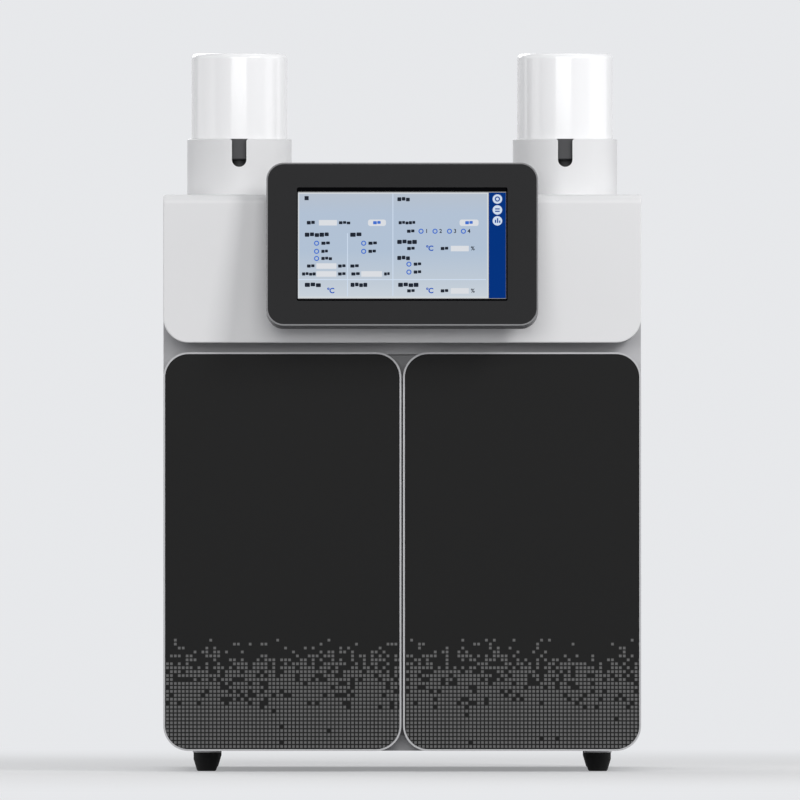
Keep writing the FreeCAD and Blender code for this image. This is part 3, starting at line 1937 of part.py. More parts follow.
def drain_spigot():
    """The hose barb through the rear panel, drawn upright and then laid down to point back."""
    out = s.spigot_reach
    radius = s.spigot_radius
    bore = s.spigot_bore_radius
    inner = -s.sheet_wall - s.spigot_nut_length
    nut = s.spigot_nut_radius
    thick = s.spigot_flange_thickness
    waist, barb = radius - s.spigot_barb_rise, radius + s.spigot_barb_rise
    second = out - s.spigot_tip_length
    first = second - s.spigot_barb_pitch
    body = turned(
        "drain_spigot",
        polygon(
            [
                (bore, inner),
                (nut, inner),
                (nut, -s.sheet_wall),
                (radius, -s.sheet_wall),
                (radius, 0),
                (s.spigot_flange_radius, 0),
                (s.spigot_flange_radius, thick),
                (waist, thick),
                (waist, first),
                (barb, first),
                (waist, second),
                (barb, second),
                (radius - s.spigot_tip_taper, out),
                (bore, out),
            ]
        ),
    )
    body.Placement = Placement(Vector(), Rotation(Vector(1, 0, 0), -90))
    place(body, x_spigot, y_rear, z_spigot)
    return keep(body, "drain_spigot")


def main():
    body_wrap()
    top_cover()
    front_frame()
    head_fascia()
    centre_post()
    chassis_shelf()
    chassis_floor()
    rear_panel()
    feet()
    foot_rings()
    foot_screws()
    for side, name in ((-1, "left"), (1, "right")):
        neck = s.pump_neck_radius + s.fit_gap
        holes = [disc(x, z_pump, neck) for x in x_pumps] if side < 0 else []
        bay(f"{name}_bay", side, holes)
        door_frame(f"{name}_door_frame", side)
        door_panel(f"{name}_door_panel", side)
        door_magnets(f"{name}_door_magnets", side)
        hinge_pins(f"{name}_hinge_pins", side)
        holder(f"{name}_canister_holder", side)
        canister_base(f"{name}_canister_base", side)
        canister_cover(f"{name}_canister_cover", side)
    hinge_arms()
    display_shell()
    display_bezel()
    lcd_panel()
    display_bracket()
    display_pin()
    pump_drive()
    pump_head("primary_pump_head", x_pumps[0])
    pump_head("secondary_pump_head", x_pumps[1])
    purge_valve_block()
    purge_valve_knob()
    degasser()
    injection_valve()
    column_heater()
    column_clips()
    separation_column()
    suppressor()
    conductivity_cell()
    finger_fittings()
    capillaries()
    power_supply()
    main_board()
    fan_housing()
    fan_rotor()
    mains_inlet()
    power_switch()
    drain_spigot()
    export()


def export():
    doc.recompute()
    failed = [
        thing.Name
        for thing in doc.Objects
        if "Invalid" in thing.State or "Error" in thing.State
    ]
    if failed:
        raise RuntimeError(f"these objects failed: {failed}")
    os.makedirs("parts", exist_ok=True)
    for part in subparts:
        if part.Shape.isNull() or not part.Shape.isValid():
            raise RuntimeError(f"{part.Label} has no valid shape")
        part.Shape.exportStep(f"parts/{part.Label}.step")
    print(f"{len(subparts)} sub-parts")


main()
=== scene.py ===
import math

import bmesh
import bpy
from mathutils import Matrix, Vector


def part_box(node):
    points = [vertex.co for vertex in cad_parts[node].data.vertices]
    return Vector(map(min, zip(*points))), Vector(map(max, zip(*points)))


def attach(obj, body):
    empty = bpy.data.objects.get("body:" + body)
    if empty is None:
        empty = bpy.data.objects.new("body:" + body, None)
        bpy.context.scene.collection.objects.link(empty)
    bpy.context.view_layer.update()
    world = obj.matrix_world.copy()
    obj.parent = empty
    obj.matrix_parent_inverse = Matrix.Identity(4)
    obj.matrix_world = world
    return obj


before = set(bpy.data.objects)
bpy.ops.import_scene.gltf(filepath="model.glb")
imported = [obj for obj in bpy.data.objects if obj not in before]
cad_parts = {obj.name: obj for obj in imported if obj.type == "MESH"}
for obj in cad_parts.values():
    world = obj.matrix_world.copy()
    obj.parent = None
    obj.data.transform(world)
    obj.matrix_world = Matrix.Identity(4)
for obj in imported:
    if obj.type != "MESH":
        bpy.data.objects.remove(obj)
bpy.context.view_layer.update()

MM = 0.001

# The photograph is an upright, nearly parallel front view: its side in pixels, millimetres a pixel, and
# the pixel that lies over the middle of the instrument at bench level.
PICTURE_SIDE = 800
MM_PER_PIXEL = 0.91
MIDDLE_PIXEL = 402.2
BENCH_PIXEL = 772.0
PIXEL = MM_PER_PIXEL / 1000


def across(pixel):
    return (pixel - MIDDLE_PIXEL) * MM_PER_PIXEL / 1000


def upward(pixel):
    return (BENCH_PIXEL - pixel) * MM_PER_PIXEL / 1000


def linear(channel):
    """Linear level of a display value from 0 to 255."""
    level = channel / 255
    return level / 12.92 if channel < 10 else ((level + 0.055) / 1.055) ** 2.4


def srgb(*channels):
    """Linear, opaque colour of three display values."""
    return tuple(linear(channel) for channel in channels) + (1.0,)


# Camera and light

# The camera's distance from the instrument's front, and the front's distance before the origin
CAMERA_DISTANCE = 28.0
FRONT_OFFSET = 0.19
SENSOR_WIDTH = 36
CLIP_END = 100

# Name, place, aim, width and height in metres, power in watts
LIGHTS = (
    ("key", (2.0, -2.6, 2.1), (0, -0.1, 0.35), (1.0, 1.0), 50),
    ("front", (-0.2, -4.4, 1.7), (0, -0.1, 0.35), (3.0, 2.2), 80),
    ("left_panel", (-1.5, -0.15, 0.75), (0, -0.15, 0.7), (1.5, 1.5), 7),
    ("right_panel", (1.5, -0.15, 0.75), (0, -0.15, 0.7), (1.5, 1.5), 6),
    ("top", (0.2, 0.5, 2.6), (0, 0, 0.4), (1.6, 1.6), 8),
    ("back", (-1.2, 2.6, 1.8), (0, 0.2, 0.3), (1.6, 1.6), 26),
)

BACKGROUND = (0.80, 0.81, 0.83, 1)
SKY = (0.94, 0.96, 1.0, 1)
SKY_STRENGTH = 0.16

# The floor's half side, its grey for scattered light, and its tones where it is seen directly. It starts
# to fade into the background near the instrument and ends as the background itself.
FLOOR_REACH = 6.0
FLOOR_GREY = (0.3, 0.3, 0.31, 1)
FLOOR_TONES = (0.8, 0.84)
FLOOR_GRAIN = 3
FADE_START = 0.35
FADE_END = 1.8
FADE_NEAR = 0.35


def add_camera():
    data = bpy.data.cameras.new("camera")
    camera = bpy.data.objects.new("camera", data)
    bpy.context.scene.collection.objects.link(camera)
    data.sensor_width = SENSOR_WIDTH
    data.lens = SENSOR_WIDTH * CAMERA_DISTANCE / (PICTURE_SIDE * MM_PER_PIXEL / 1000)
    data.clip_end = CLIP_END
    middle = PICTURE_SIDE / 2
    camera.location = (across(middle), -CAMERA_DISTANCE - FRONT_OFFSET, upward(middle))
    camera.rotation_euler = (math.radians(90), 0, 0)
    bpy.context.scene.camera = camera


def add_light(name, place, aim, size, power):
    data = bpy.data.lights.new(name, "AREA")
    data.shape = "RECTANGLE"
    data.size, data.size_y = size
    data.energy = power
    light = bpy.data.objects.new(name, data)
    light.location = place
    light.rotation_euler = (Vector(aim) - Vector(place)).to_track_quat("-Z", "Y").to_euler()
    bpy.context.scene.collection.objects.link(light)


def node_material(name):
    material = bpy.data.materials.new(name)
    material.use_nodes = True
    nodes = material.node_tree.nodes
    return material, nodes, material.node_tree.links, nodes["Principled BSDF"]


def seen_directly(nodes, links):
    """1 where the camera looks, straight on or by a mirror or glass, and 0 for scattered light."""
    path = nodes.new("ShaderNodeLightPath")
    level = path.outputs["Is Camera Ray"]
    for kind in ("Is Glossy Ray", "Is Transmission Ray"):
        either = nodes.new("ShaderNodeMath")
        either.operation = "MAXIMUM"
        links.new(level, either.inputs[0])
        links.new(path.outputs[kind], either.inputs[1])
        level = either.outputs[0]
    return level


def mix_shaders(nodes, links, share, first, second, output):
    mix = nodes.new("ShaderNodeMixShader")
    links.new(share, mix.inputs[0])
    links.new(first, mix.inputs[1])
    links.new(second, mix.inputs[2])
    links.new(mix.outputs[0], nodes[output].inputs["Surface"])


def add_stage():
    """A pale floor that fades into an equally pale surround, so that no edge or horizon shows."""
    mesh = bpy.data.meshes.new("floor")
    build = bmesh.new()
    corners = [(x * FLOOR_REACH, y * FLOOR_REACH) for x, y in ((-1, -1), (1, -1), (1, 1), (-1, 1))]
    build.faces.new([build.verts.new((x, y, 0)) for x, y in corners])
    build.to_mesh(mesh)
    build.free()
    floor = bpy.data.objects.new("floor", mesh)
    bpy.context.scene.collection.objects.link(floor)
    mesh.materials.append(floor_paper())

    world = bpy.data.worlds.new("studio")
    bpy.context.scene.world = world
    world.use_nodes = True
    nodes, links = world.node_tree.nodes, world.node_tree.links
    sky = nodes["Background"]
    sky.inputs["Color"].default_value = SKY
    sky.inputs["Strength"].default_value = SKY_STRENGTH
    shown = nodes.new("ShaderNodeBackground")
    shown.inputs["Color"].default_value = BACKGROUND
    mix_shaders(nodes, links, seen_directly(nodes, links), sky.outputs[0], shown.outputs[0], "World Output")


def floor_paper():
    """The floor's paper, a little uneven, which turns into the background with its distance."""
    material, nodes, links, shader = node_material("floor_paper")
    seen = seen_directly(nodes, links)
    place = nodes.new("ShaderNodeTexCoord")
    grain = nodes.new("ShaderNodeTexNoise")
    grain.inputs["Scale"].default_value = FLOOR_GRAIN
    links.new(place.outputs["Object"], grain.inputs["Vector"])
    tone = nodes.new("ShaderNodeMapRange")
    tone.inputs["To Min"].default_value, tone.inputs["To Max"].default_value = FLOOR_TONES
    links.new(grain.outputs["Fac"], tone.inputs["Value"])
    shade = nodes.new("ShaderNodeMixRGB")
    shade.inputs["Color1"].default_value = FLOOR_GREY
    links.new(seen, shade.inputs["Fac"])
    links.new(tone.outputs[0], shade.inputs["Color2"])
    links.new(shade.outputs[0], shader.inputs["Base Color"])
    shader.inputs["Roughness"].default_value = 0.9
    shader.inputs["Specular IOR Level"].default_value = 0.1
    distance = nodes.new("ShaderNodeVectorMath")
    distance.operation = "LENGTH"
    links.new(place.outputs["Object"], distance.inputs[0])
    fade = nodes.new("ShaderNodeMapRange")
    fade.interpolation_type = "SMOOTHSTEP"
    fade.inputs["From Min"].default_value = FADE_START
    fade.inputs["From Max"].default_value = FADE_END
    fade.inputs["To Min"].default_value = FADE_NEAR
    links.new(distance.outputs["Value"], fade.inputs["Value"])
    amount = nodes.new("ShaderNodeMath")
    amount.operation = "MULTIPLY"
    links.new(fade.outputs[0], amount.inputs[0])
    links.new(seen, amount.inputs[1])
    far = nodes.new("ShaderNodeEmission")
    far.inputs["Color"].default_value = BACKGROUND
    mix_shaders(nodes, links, amount.outputs[0], shader.outputs[0], far.outputs[0], "Material Output")
    return material


# Materials


def varied(colour, share):
    """A colour's darker and lighter variants, opaque and no channel over 1."""
    darker = tuple(c * (1 - share) for c in colour[:3]) + (1,)
    lighter = tuple(min(1.0, c * (1 + share)) for c in colour[:3]) + (1,)
    return darker, lighter


def surface(
    name, colour, rough, *, metal=0.0, coat=0.0, grain=0.0, grain_size=0.4,
    tint=0.03, brushed=None, specular=0.5
):
    """A moulded, painted or machined surface. Grain is the depth of its bumps and grain_size their
    spacing, in millimetres; brushed is how much finer the grain is along each axis."""
    material, nodes, links, shader = node_material(name)
    shader.inputs["Metallic"].default_value = metal
    shader.inputs["Coat Weight"].default_value = coat
    shader.inputs["Coat Roughness"].default_value = 0.06
    shader.inputs["Specular IOR Level"].default_value = specular
    place = nodes.new("ShaderNodeTexCoord")
    stretch = nodes.new("ShaderNodeMapping")
    links.new(place.outputs["Object"], stretch.inputs["Vector"])
    if brushed:
        stretch.inputs["Scale"].default_value = brushed
    fine = nodes.new("ShaderNodeTexNoise")
    fine.inputs["Scale"].default_value = 1000 / grain_size / 3
    fine.inputs["Detail"].default_value = 3
    links.new(stretch.outputs[0], fine.inputs["Vector"])
    broad = nodes.new("ShaderNodeTexNoise")
    broad.inputs["Scale"].default_value = 9
    broad.inputs["Detail"].default_value = 4
    links.new(place.outputs["Object"], broad.inputs["Vector"])
    tones = nodes.new("ShaderNodeMixRGB")
    tones.inputs["Color1"].default_value, tones.inputs["Color2"].default_value = varied(colour, tint)
    links.new(broad.outputs["Fac"], tones.inputs["Fac"])
    links.new(tones.outputs[0], shader.inputs["Base Color"])
    polish = nodes.new("ShaderNodeMapRange")
    polish.inputs["To Min"].default_value = max(0.03, rough - 0.06)
    polish.inputs["To Max"].default_value = min(1.0, rough + 0.06)
    links.new(fine.outputs["Fac"], polish.inputs["Value"])
    links.new(polish.outputs[0], shader.inputs["Roughness"])
    if grain:
        bump = nodes.new("ShaderNodeBump")
        bump.inputs["Strength"].default_value = 0.35
        bump.inputs["Distance"].default_value = grain / 1000
        links.new(fine.outputs["Fac"], bump.inputs["Height"])
        links.new(bump.outputs[0], shader.inputs["Normal"])
    return material


def fill_ramp(ramp, stops):
    """Give a colour ramp its stops, each a place from 0 to 1 and a colour."""
    while len(ramp.elements) < len(stops):
        ramp.elements.new(0.5)
    for element, (position, colour) in zip(ramp.elements, stops):
        element.position = position
        element.color = colour


# The print on the doors: the pitch of its squares and where the squares start on each axis, in metres,
# the squares' half width as a share of the pitch, the photograph's rows at its foot and its top, and the
# share of squares that are printed, from the foot at 0 to the top at 1.
PRINT_PITCH = 3.585 / 1000
PRINT_STARTS = (("X", 0.0004), ("Z", 0.0002))
PRINT_HALF_SQUARE = 0.335
PRINT_FOOT_ROW = 752
PRINT_TOP_ROW = 641
PRINT_GREY = (106, 106, 106)
PRINT_SHARES = (
    (0.0, 0.995),
    (0.35, 0.985),
    (0.38, 0.89),
    (0.58, 0.84),
    (0.73, 0.73),
    (0.77, 0.48),
    (0.85, 0.42),
    (0.88, 0.21),
    (0.985, 0.16),
    (1.0, 0.0),
)


def door_print():
    """Dark panel with a fade of small grey squares rising from its lower edge."""
    material = surface("door_print", srgb(25, 25, 25), 0.5, specular=0.1, grain=0.01, tint=0.02)
    nodes, links = material.node_tree.nodes, material.node_tree.links
    shader = nodes["Principled BSDF"]
    plain = shader.inputs["Base Color"].links[0].from_socket

    def math_node(operation, *values):
        node = nodes.new("ShaderNodeMath")
        node.operation = operation
        for index, value in enumerate(values):
            if isinstance(value, (int, float)):
                node.inputs[index].default_value = value
            else:
                links.new(value, node.inputs[index])
        return node.outputs[0]

    place = nodes.new("ShaderNodeTexCoord")
    split = nodes.new("ShaderNodeSeparateXYZ")
    links.new(place.outputs["Object"], split.inputs[0])
    cells = []
    masks = []
    for axis, start in PRINT_STARTS:
        steps = math_node("DIVIDE", math_node("ADD", split.outputs[axis], start), PRINT_PITCH)
        cells.append(math_node("FLOOR", steps))
        off_middle = math_node("ABSOLUTE", math_node("SUBTRACT", math_node("FRACT", steps), 0.5))
        masks.append(math_node("LESS_THAN", off_middle, PRINT_HALF_SQUARE))
    cell = nodes.new("ShaderNodeCombineXYZ")
    links.new(cells[0], cell.inputs[0])
    links.new(cells[1], cell.inputs[1])
    chance = nodes.new("ShaderNodeTexWhiteNoise")
    chance.noise_dimensions = "2D"
    links.new(cell.outputs[0], chance.inputs["Vector"])
    height = math_node("MULTIPLY", cells[1], PRINT_PITCH)
    reach = nodes.new("ShaderNodeMapRange")
    reach.inputs["From Min"].default_value = upward(PRINT_FOOT_ROW)
    reach.inputs["From Max"].default_value = upward(PRINT_TOP_ROW)
    links.new(height, reach.inputs["Value"])
    share = nodes.new("ShaderNodeValToRGB")
    links.new(reach.outputs[0], share.inputs[0])
    fill_ramp(share.color_ramp, [(position, (level, level, level, 1)) for position, level in PRINT_SHARES])
    shown = math_node("LESS_THAN", chance.outputs["Value"], share.outputs["Color"])
    square = math_node("MULTIPLY", math_node("MULTIPLY", masks[0], masks[1]), shown)
    mix = nodes.new("ShaderNodeMixRGB")
    links.new(square, mix.inputs["Fac"])
    links.new(plain, mix.inputs["Color1"])
    mix.inputs["Color2"].default_value = srgb(*PRINT_GREY)
    links.new(mix.outputs[0], shader.inputs["Base Color"])
    return material


# The photograph's rows at the foot and the top of the lit screen, and its colours from foot to top
PANEL_FOOT_ROW = 299
PANEL_TOP_ROW = 192
PANEL_BLUE = (178, 193, 212)
PANEL_COLOURS = (
    (0.0, srgb(203, 211, 219)),
    (0.2, srgb(190, 201, 213)),
    (0.45, srgb(177, 193, 212)),
    (0.8, srgb(*PANEL_BLUE)),
    (1.0, srgb(183, 192, 204)),
)


def panel_glow():
    """The lit ground of the screen: greyer along the top, bluest in the middle, palest below."""
    material = glow("ui_panel", srgb(*PANEL_BLUE), 0.015)
    nodes, links = material.node_tree.nodes, material.node_tree.links
    shader = nodes["Principled BSDF"]
    uneven = shader.inputs["Emission Color"].links[0].from_socket
    place = nodes.new("ShaderNodeTexCoord")
    split = nodes.new("ShaderNodeSeparateXYZ")
    links.new(place.outputs["Object"], split.inputs[0])
    level = nodes.new("ShaderNodeMapRange")
    level.inputs["From Min"].default_value = upward(PANEL_FOOT_ROW)
    level.inputs["From Max"].default_value = upward(PANEL_TOP_ROW)
    links.new(split.outputs["Z"], level.inputs["Value"])
    ramp = nodes.new("ShaderNodeValToRGB")
    links.new(level.outputs[0], ramp.inputs["Fac"])
    fill_ramp(ramp.color_ramp, PANEL_COLOURS)
    blend = nodes.new("ShaderNodeMixRGB")
    blend.inputs["Fac"].default_value = 0.9
    links.new(uneven, blend.inputs["Color1"])
    links.new(ramp.outputs["Color"], blend.inputs["Color2"])
    links.new(blend.outputs[0], shader.inputs["Emission Color"])
    return material


def glow(name, colour, fade=0.03):
    """A lit part of the screen: it shows its own colour, a little uneven like a real backlight."""
    material, nodes, links, shader = node_material(name)
    shader.inputs["Base Color"].default_value = (0.002, 0.002, 0.002, 1)
    shader.inputs["Roughness"].default_value = 0.5
    shader.inputs["Specular IOR Level"].default_value = 0.0
    shader.inputs["Emission Strength"].default_value = 1.0
    place = nodes.new("ShaderNodeTexCoord")
    patch = nodes.new("ShaderNodeTexNoise")
    patch.inputs["Scale"].default_value = 14
    links.new(place.outputs["Object"], patch.inputs["Vector"])
    mix = nodes.new("ShaderNodeMixRGB")
    mix.inputs["Color1"].default_value, mix.inputs["Color2"].default_value = varied(colour, fade)
    links.new(patch.outputs["Fac"], mix.inputs["Fac"])
    links.new(mix.outputs[0], shader.inputs["Emission Color"])
    return material


def dress(material, *names):
    for name in names:
        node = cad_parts[name]
        node.data.materials.clear()
        node.data.materials.append(material)


def dress_cabinet():
    painted = surface("painted_sheet", srgb(224, 224, 225), 0.46, grain=0.03, grain_size=0.5, tint=0.012)
    moulded = surface("moulded_head", srgb(228, 228, 229), 0.42, grain=0.015, grain_size=0.35, tint=0.012)
    door = surface("door_moulding", srgb(190, 190, 192), 0.4, grain=0.01, tint=0.02)
    zinc = surface("zinc_plate", srgb(178, 180, 178), 0.36, metal=1.0, tint=0.12)
    steel = surface(
        "turned_steel", srgb(158, 159, 162), 0.3, metal=1.0, brushed=(1, 1, 14), grain=0.02, tint=0.08
    )
    rubber = surface(
        "foot_rubber", srgb(22, 22, 23), 0.72, specular=0.25, grain=0.05, grain_size=0.6, tint=0.15
    )
    nickel = surface("nickel", srgb(214, 210, 202), 0.16, metal=1.0)
    feet = [f"foot_{end}_{side}" for end in ("front", "rear") for side in ("left", "right")]
    dress(painted, "body_wrap", "top_cover", "rear_panel")
    dress(surface("frame_paint", srgb(182, 182, 184), 0.5, grain=0.03, tint=0.012), "front_frame")
    # The centre post has the frame's paint darkened as painted shade, for the shadow in the gap between the
    # doors.
    dress(surface("post_paint_darkened_as_shade", srgb(134, 134, 136), 0.5, grain=0.03, tint=0.012), "centre_post")
    dress(moulded, "head_fascia", "left_canister_holder", "right_canister_holder")
    dress(door, "left_door_frame", "right_door_frame")
    dress(door_print(), "left_door_panel", "right_door_panel")
    dress(surface("bay_paint", srgb(206, 208, 210), 0.5, grain=0.02), "left_bay", "right_bay")
    dress(zinc, "chassis_shelf", "chassis_floor", "foot_screws", "hinge_arms", "display_bracket")
    dress(steel, "left_hinge_pins", "right_hinge_pins", "display_pin")
    dress(steel, "primary_pump_head", "secondary_pump_head")
    dress(nickel, "left_door_magnets", "right_door_magnets")
    dress(rubber, *feet)
    # The rings' white is raised as painted light, so that they show bright in the shade under the cabinet.
    dress(surface("foot_ring", srgb(244, 244, 245), 0.4, tint=0.02), "foot_rings")


def dress_display():
    bezel = surface("bezel_black", srgb(34, 34, 35), 0.46, specular=0.08, grain=0.004, tint=0.03)
    # The shell is grey plastic, darkened as painted shade so that its underside shows as dark as in shadow.
    dress(surface("display_housing", srgb(110, 110, 112), 0.42, grain=0.008), "display_shell")
    dress(bezel, "display_bezel")
    dress(surface("screen_glass", srgb(12, 13, 16), 0.12, coat=0.5), "lcd_panel")


def dress_canisters():
    white = surface("canister_gloss", srgb(250, 250, 251), 0.2, coat=0.6, tint=0.004)
    dark = surface("canister_base", srgb(60, 60, 62), 0.42, specular=0.3, grain=0.02, tint=0.06)
    dress(white, "left_canister_cover", "right_canister_cover")
    dress(dark, "left_canister_base", "right_canister_base")


def dress_flow_path():
    block = surface(
        "machined_block", srgb(142, 143, 147), 0.34, metal=1.0, brushed=(20, 1, 1), grain=0.02, tint=0.08
    )
    plate = surface("anodised", srgb(188, 190, 194), 0.38, metal=0.85, brushed=(1, 1, 24), grain=0.004)
    polymer = surface("natural_polymer", srgb(206, 184, 142), 0.36, tint=0.05, grain=0.01)
    dress(surface("cast_grey", srgb(120, 122, 126), 0.5, grain=0.06, grain_size=1.2), "pump_drive")
    dress(block, "purge_valve_block", "injection_valve")
    dress(surface("knob_black", srgb(36, 36, 38), 0.42, grain=0.02), "purge_valve_knob")
    dress(surface("degasser_case", srgb(58, 60, 64), 0.48, grain=0.03), "degasser")
    dress(plate, "column_heater")
    dress(surface("clip_white", srgb(230, 230, 226), 0.4, tint=0.02), "column_clips")
    dress(polymer, "separation_column", "finger_fittings")
    dress(surface("suppressor_blue", srgb(62, 88, 134), 0.4, grain=0.02), "suppressor")
    dress(surface("cell_cover", srgb(84, 85, 90), 0.45, grain=0.03), "conductivity_cell")
    dress(surface("tube_red", srgb(186, 48, 40), 0.3), "column_inlet_tube", "column_outlet_tube")
    dress(surface("tube_blue", srgb(46, 86, 170), 0.3), "pump_link_tube", "cell_tube")


def dress_electronics():
    supply = surface("supply_case", srgb(176, 177, 178), 0.4, metal=1.0, brushed=(16, 1, 1))
    dress(supply, "power_supply")
    dress(surface("solder_mask", srgb(24, 92, 50), 0.35, tint=0.12), "main_board")
    dress(surface("fan_black", srgb(26, 26, 27), 0.5, grain=0.02), "fan_housing", "fan_rotor")
    dress(surface("socket_black", srgb(24, 24, 25), 0.45, grain=0.01), "mains_inlet")
    dress(surface("rocker_black", srgb(18, 18, 19), 0.3), "power_switch")
    dress(surface("spigot_polymer", srgb(222, 218, 206), 0.4), "drain_spigot")


# The tilted display: its angle at rest, its hinge and how far the screen lies in front of the hinge
TILT = math.radians(10)
PIVOT = Vector((0, -0.20138874, 0.475))
SCREEN_DEPTH = 0.0274
TURN = Matrix.Translation(PIVOT) @ Matrix.Rotation(-TILT, 4, "X")
SCREEN = TURN @ Matrix.Translation((0, -SCREEN_DEPTH, 0))

# Sides of a ring, steps of a rounded corner, and a label's blocks: their pitch for a height of 1, their
# corner radius for a height of 1, and the widths and shifts that repeat along the row
RING_SIDES = 20
CORNER_STEPS = 4
BLOCK_PITCH = 1.15
BLOCK_CORNER = 0.18
BLOCK_FORMS = ((0.93, 0.0), (0.84, 0.1), (0.9, -0.08))

# Numbers and unit marks: the type size for a digit of height 1, and the spacing of digits
TYPE_SIZE = 1.36
TYPE_SPACING = 0.86


def on_screen(px, py):
    """Screen coordinates (across, up) of a pixel of the photograph."""
    height = upward(py) - (PIVOT.z + SCREEN_DEPTH * math.sin(TILT))
    return across(px), height / math.cos(TILT)


class Layer:
    """Flat shapes of one colour, a given distance in front of the display's screen."""

    def __init__(self, name, material, lift):
        self.name, self.material, self.lift = name, material, lift
        self.build = bmesh.new()

    def polygon(self, points):
        corners = [SCREEN @ Vector((x, -self.lift, z)) for x, z in points]
        self.build.faces.new([self.build.verts.new(corner) for corner in corners])

    def rect(self, x, z, wide, high, radius=0.0):
        half_x, half_z = wide / 2, high / 2
        if not radius:
            turns = ((-1, -1), (1, -1), (1, 1), (-1, 1))
            self.polygon([(x + sx * half_x, z + sz * half_z) for sx, sz in turns])
            return
        points = []
        for sx, sz, start in ((1, -1, -90), (1, 1, 0), (-1, 1, 90), (-1, -1, 180)):
            corner_x, corner_z = x + sx * (half_x - radius), z + sz * (half_z - radius)
            for step in range(CORNER_STEPS + 1):
                angle = math.radians(start + 90 / CORNER_STEPS * step)
                points.append((corner_x + radius * math.cos(angle), corner_z + radius * math.sin(angle)))
        self.polygon(points)

    def bar(self, px, py, wide, high, radius=0.0):
        """A bar centred on a pixel, with its size and corner radius in pixels."""
        self.rect(*on_screen(px, py), wide * PIXEL, high * PIXEL, radius * PIXEL)

    def ring(self, px, py, outer, inner):
        """A ring centred on a pixel, with its radii in pixels."""
        x, z = on_screen(px, py)
        outer, inner = outer * PIXEL, inner * PIXEL
        for step in range(RING_SIDES):
            first = 2 * math.pi * step / RING_SIDES
            second = 2 * math.pi * (step + 1) / RING_SIDES
            corners = [(outer, first), (outer, second), (inner, second), (inner, first)]
            self.polygon([(x + r * math.cos(a), z + r * math.sin(a)) for r, a in corners])

    def words(self, px, py, wide, high=3.0):
        """A label shown as a row of small blocks, almost touching, with its size in pixels."""
        x, z = on_screen(px, py)
        wide, high = wide * PIXEL, high * PIXEL
        count = max(2, round(wide / (high * BLOCK_PITCH)))
        step = wide / count
        for index in range(count):
            share, rise = BLOCK_FORMS[index % len(BLOCK_FORMS)]
            middle = x - wide / 2 + step * (index + 0.5)
            tall = high * (1 - abs(rise))
            self.rect(middle, z + high * rise, step * share, tall, high * BLOCK_CORNER)

    def finish(self):
        show(self.name, self.build, self.material, "display")


def show(name, build, material, body):
    mesh = bpy.data.meshes.new(name)
    build.to_mesh(mesh)
    build.free()
    place_piece(name, mesh, material, body)


def place_piece(name, mesh, material, body):
    mesh.materials.append(material)
    piece = bpy.data.objects.new(name, mesh)
    bpy.context.scene.collection.objects.link(piece)
    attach(piece, body)


def screen_text(words, name, px, py, height, material, lift, weight=0.0001):
    """Numbers and unit marks, centred on a pixel; the weight thickens their strokes."""
    curve = bpy.data.curves.new(name, "FONT")
    curve.body = words
    curve.size = height * MM_PER_PIXEL / 1000 * TYPE_SIZE
    curve.space_character = TYPE_SPACING
    curve.align_x = "CENTER"
    curve.align_y = "CENTER"
    curve.resolution_u = 3
    curve.offset = weight
    maker = bpy.data.objects.new(name + "_maker", curve)
    bpy.context.scene.collection.objects.link(maker)
    bpy.context.view_layer.update()
    mesh = bpy.data.meshes.new_from_object(maker.evaluated_get(bpy.context.evaluated_depsgraph_get()))
    bpy.data.objects.remove(maker)
    x, z = on_screen(px, py)
    stand = Matrix.Translation((x, -(SCREEN_DEPTH + lift), z)) @ Matrix.Rotation(math.radians(90), 4, "X")
    mesh.transform(TURN @ stand)
    mesh.materials.clear()
    place_piece(name, mesh, material, "display")


# The screen picture, in pixels of the photograph. Each list gives a shape's column and row, and then its
# width, or its width and height.
PANEL = (393.2, 245.4, 187.6, 104.2)
BORDER = (393.2, 245.6, 190.2, 107.2)
SIDE_STRIP = (497.2, 245.6, 17.0, 107.2)
DIVIDERS = ((392.3, 279.8, 187.4, 0.9), (347.6, 265, 0.8, 64), (392.9, 245, 0.8, 104))
# The black edge round the lit screen. The bands along the top and the right are widened as painted shadow
# of the frame.
SCREEN_EDGE_AND_SHADOW = (
    (402.3, 188.6, 210.2, 6.2),
    (402.3, 300.9, 210.2, 3.4),
    (297.4, 244.5, 1.4, 114),
    (507.2, 244.5, 2.6, 114),
)

# The side strip's three discs and the marks on them: a ring, two lines and three columns
ICON_COLUMN = 497.3
ICON_ROWS = (199.3, 210.2, 221.1)
ICON_BARS = (
    (497.3, 209.2, 4.6, 1.2),
    (497.3, 211.6, 4.6, 1.2),
    (495.4, 221.6, 1.3, 3.2),
    (497.5, 220.8, 1.3, 4.8),
    (499.6, 222.0, 1.3, 2.4),
)
DISC_RADII = (4.8, 0.01)
ICON_RADII = (2.7, 1.5)
CHOICE_RADII = (2.6, 1.5)

TITLE_SQUARE = (306.7, 198.4, 4.2, 4.2)
LABELS = (
    (403.6, 199.5, 12.8, 4.0),
    (311, 223, 8.5, 3.6),
    (344.7, 223, 11.7, 3.0),
    (407, 223, 17, 3.2),
    (410.8, 231.5, 8, 3.2),
    (311, 266.3, 8, 3.2),
    (342, 266.3, 8, 3.2),
    (354.7, 266.3, 9, 3.2),
    (309, 274.2, 14, 3.2),
    (342, 274.2, 8, 3.2),
    (355.7, 274.2, 9, 3.2),
    (387, 274.2, 6, 3.2),
)
HEADINGS = (
    (317, 235, 24.5),
    (356, 235, 12),
    (407, 242.2, 20),
    (403.6, 258.2, 13),
    (313, 285.1, 16.5),
    (359, 285.1, 17),
    (408.3, 285.1, 20.7),
)
HEADING_HEIGHT = 4.2
LABEL_HEIGHT = 3.2
FIELDS = ((328, 223, 18), (326.5, 266.3, 20), (326.5, 274.2, 20), (371.7, 274.2, 20.7))
FIELD_HEIGHT = 5.6
BUTTONS = ((377, 223, 18), (469, 223, 19))
BUTTON_HEIGHT = 6.5
BUTTON_RADIUS = 2.2
BUTTON_WORDS = 8

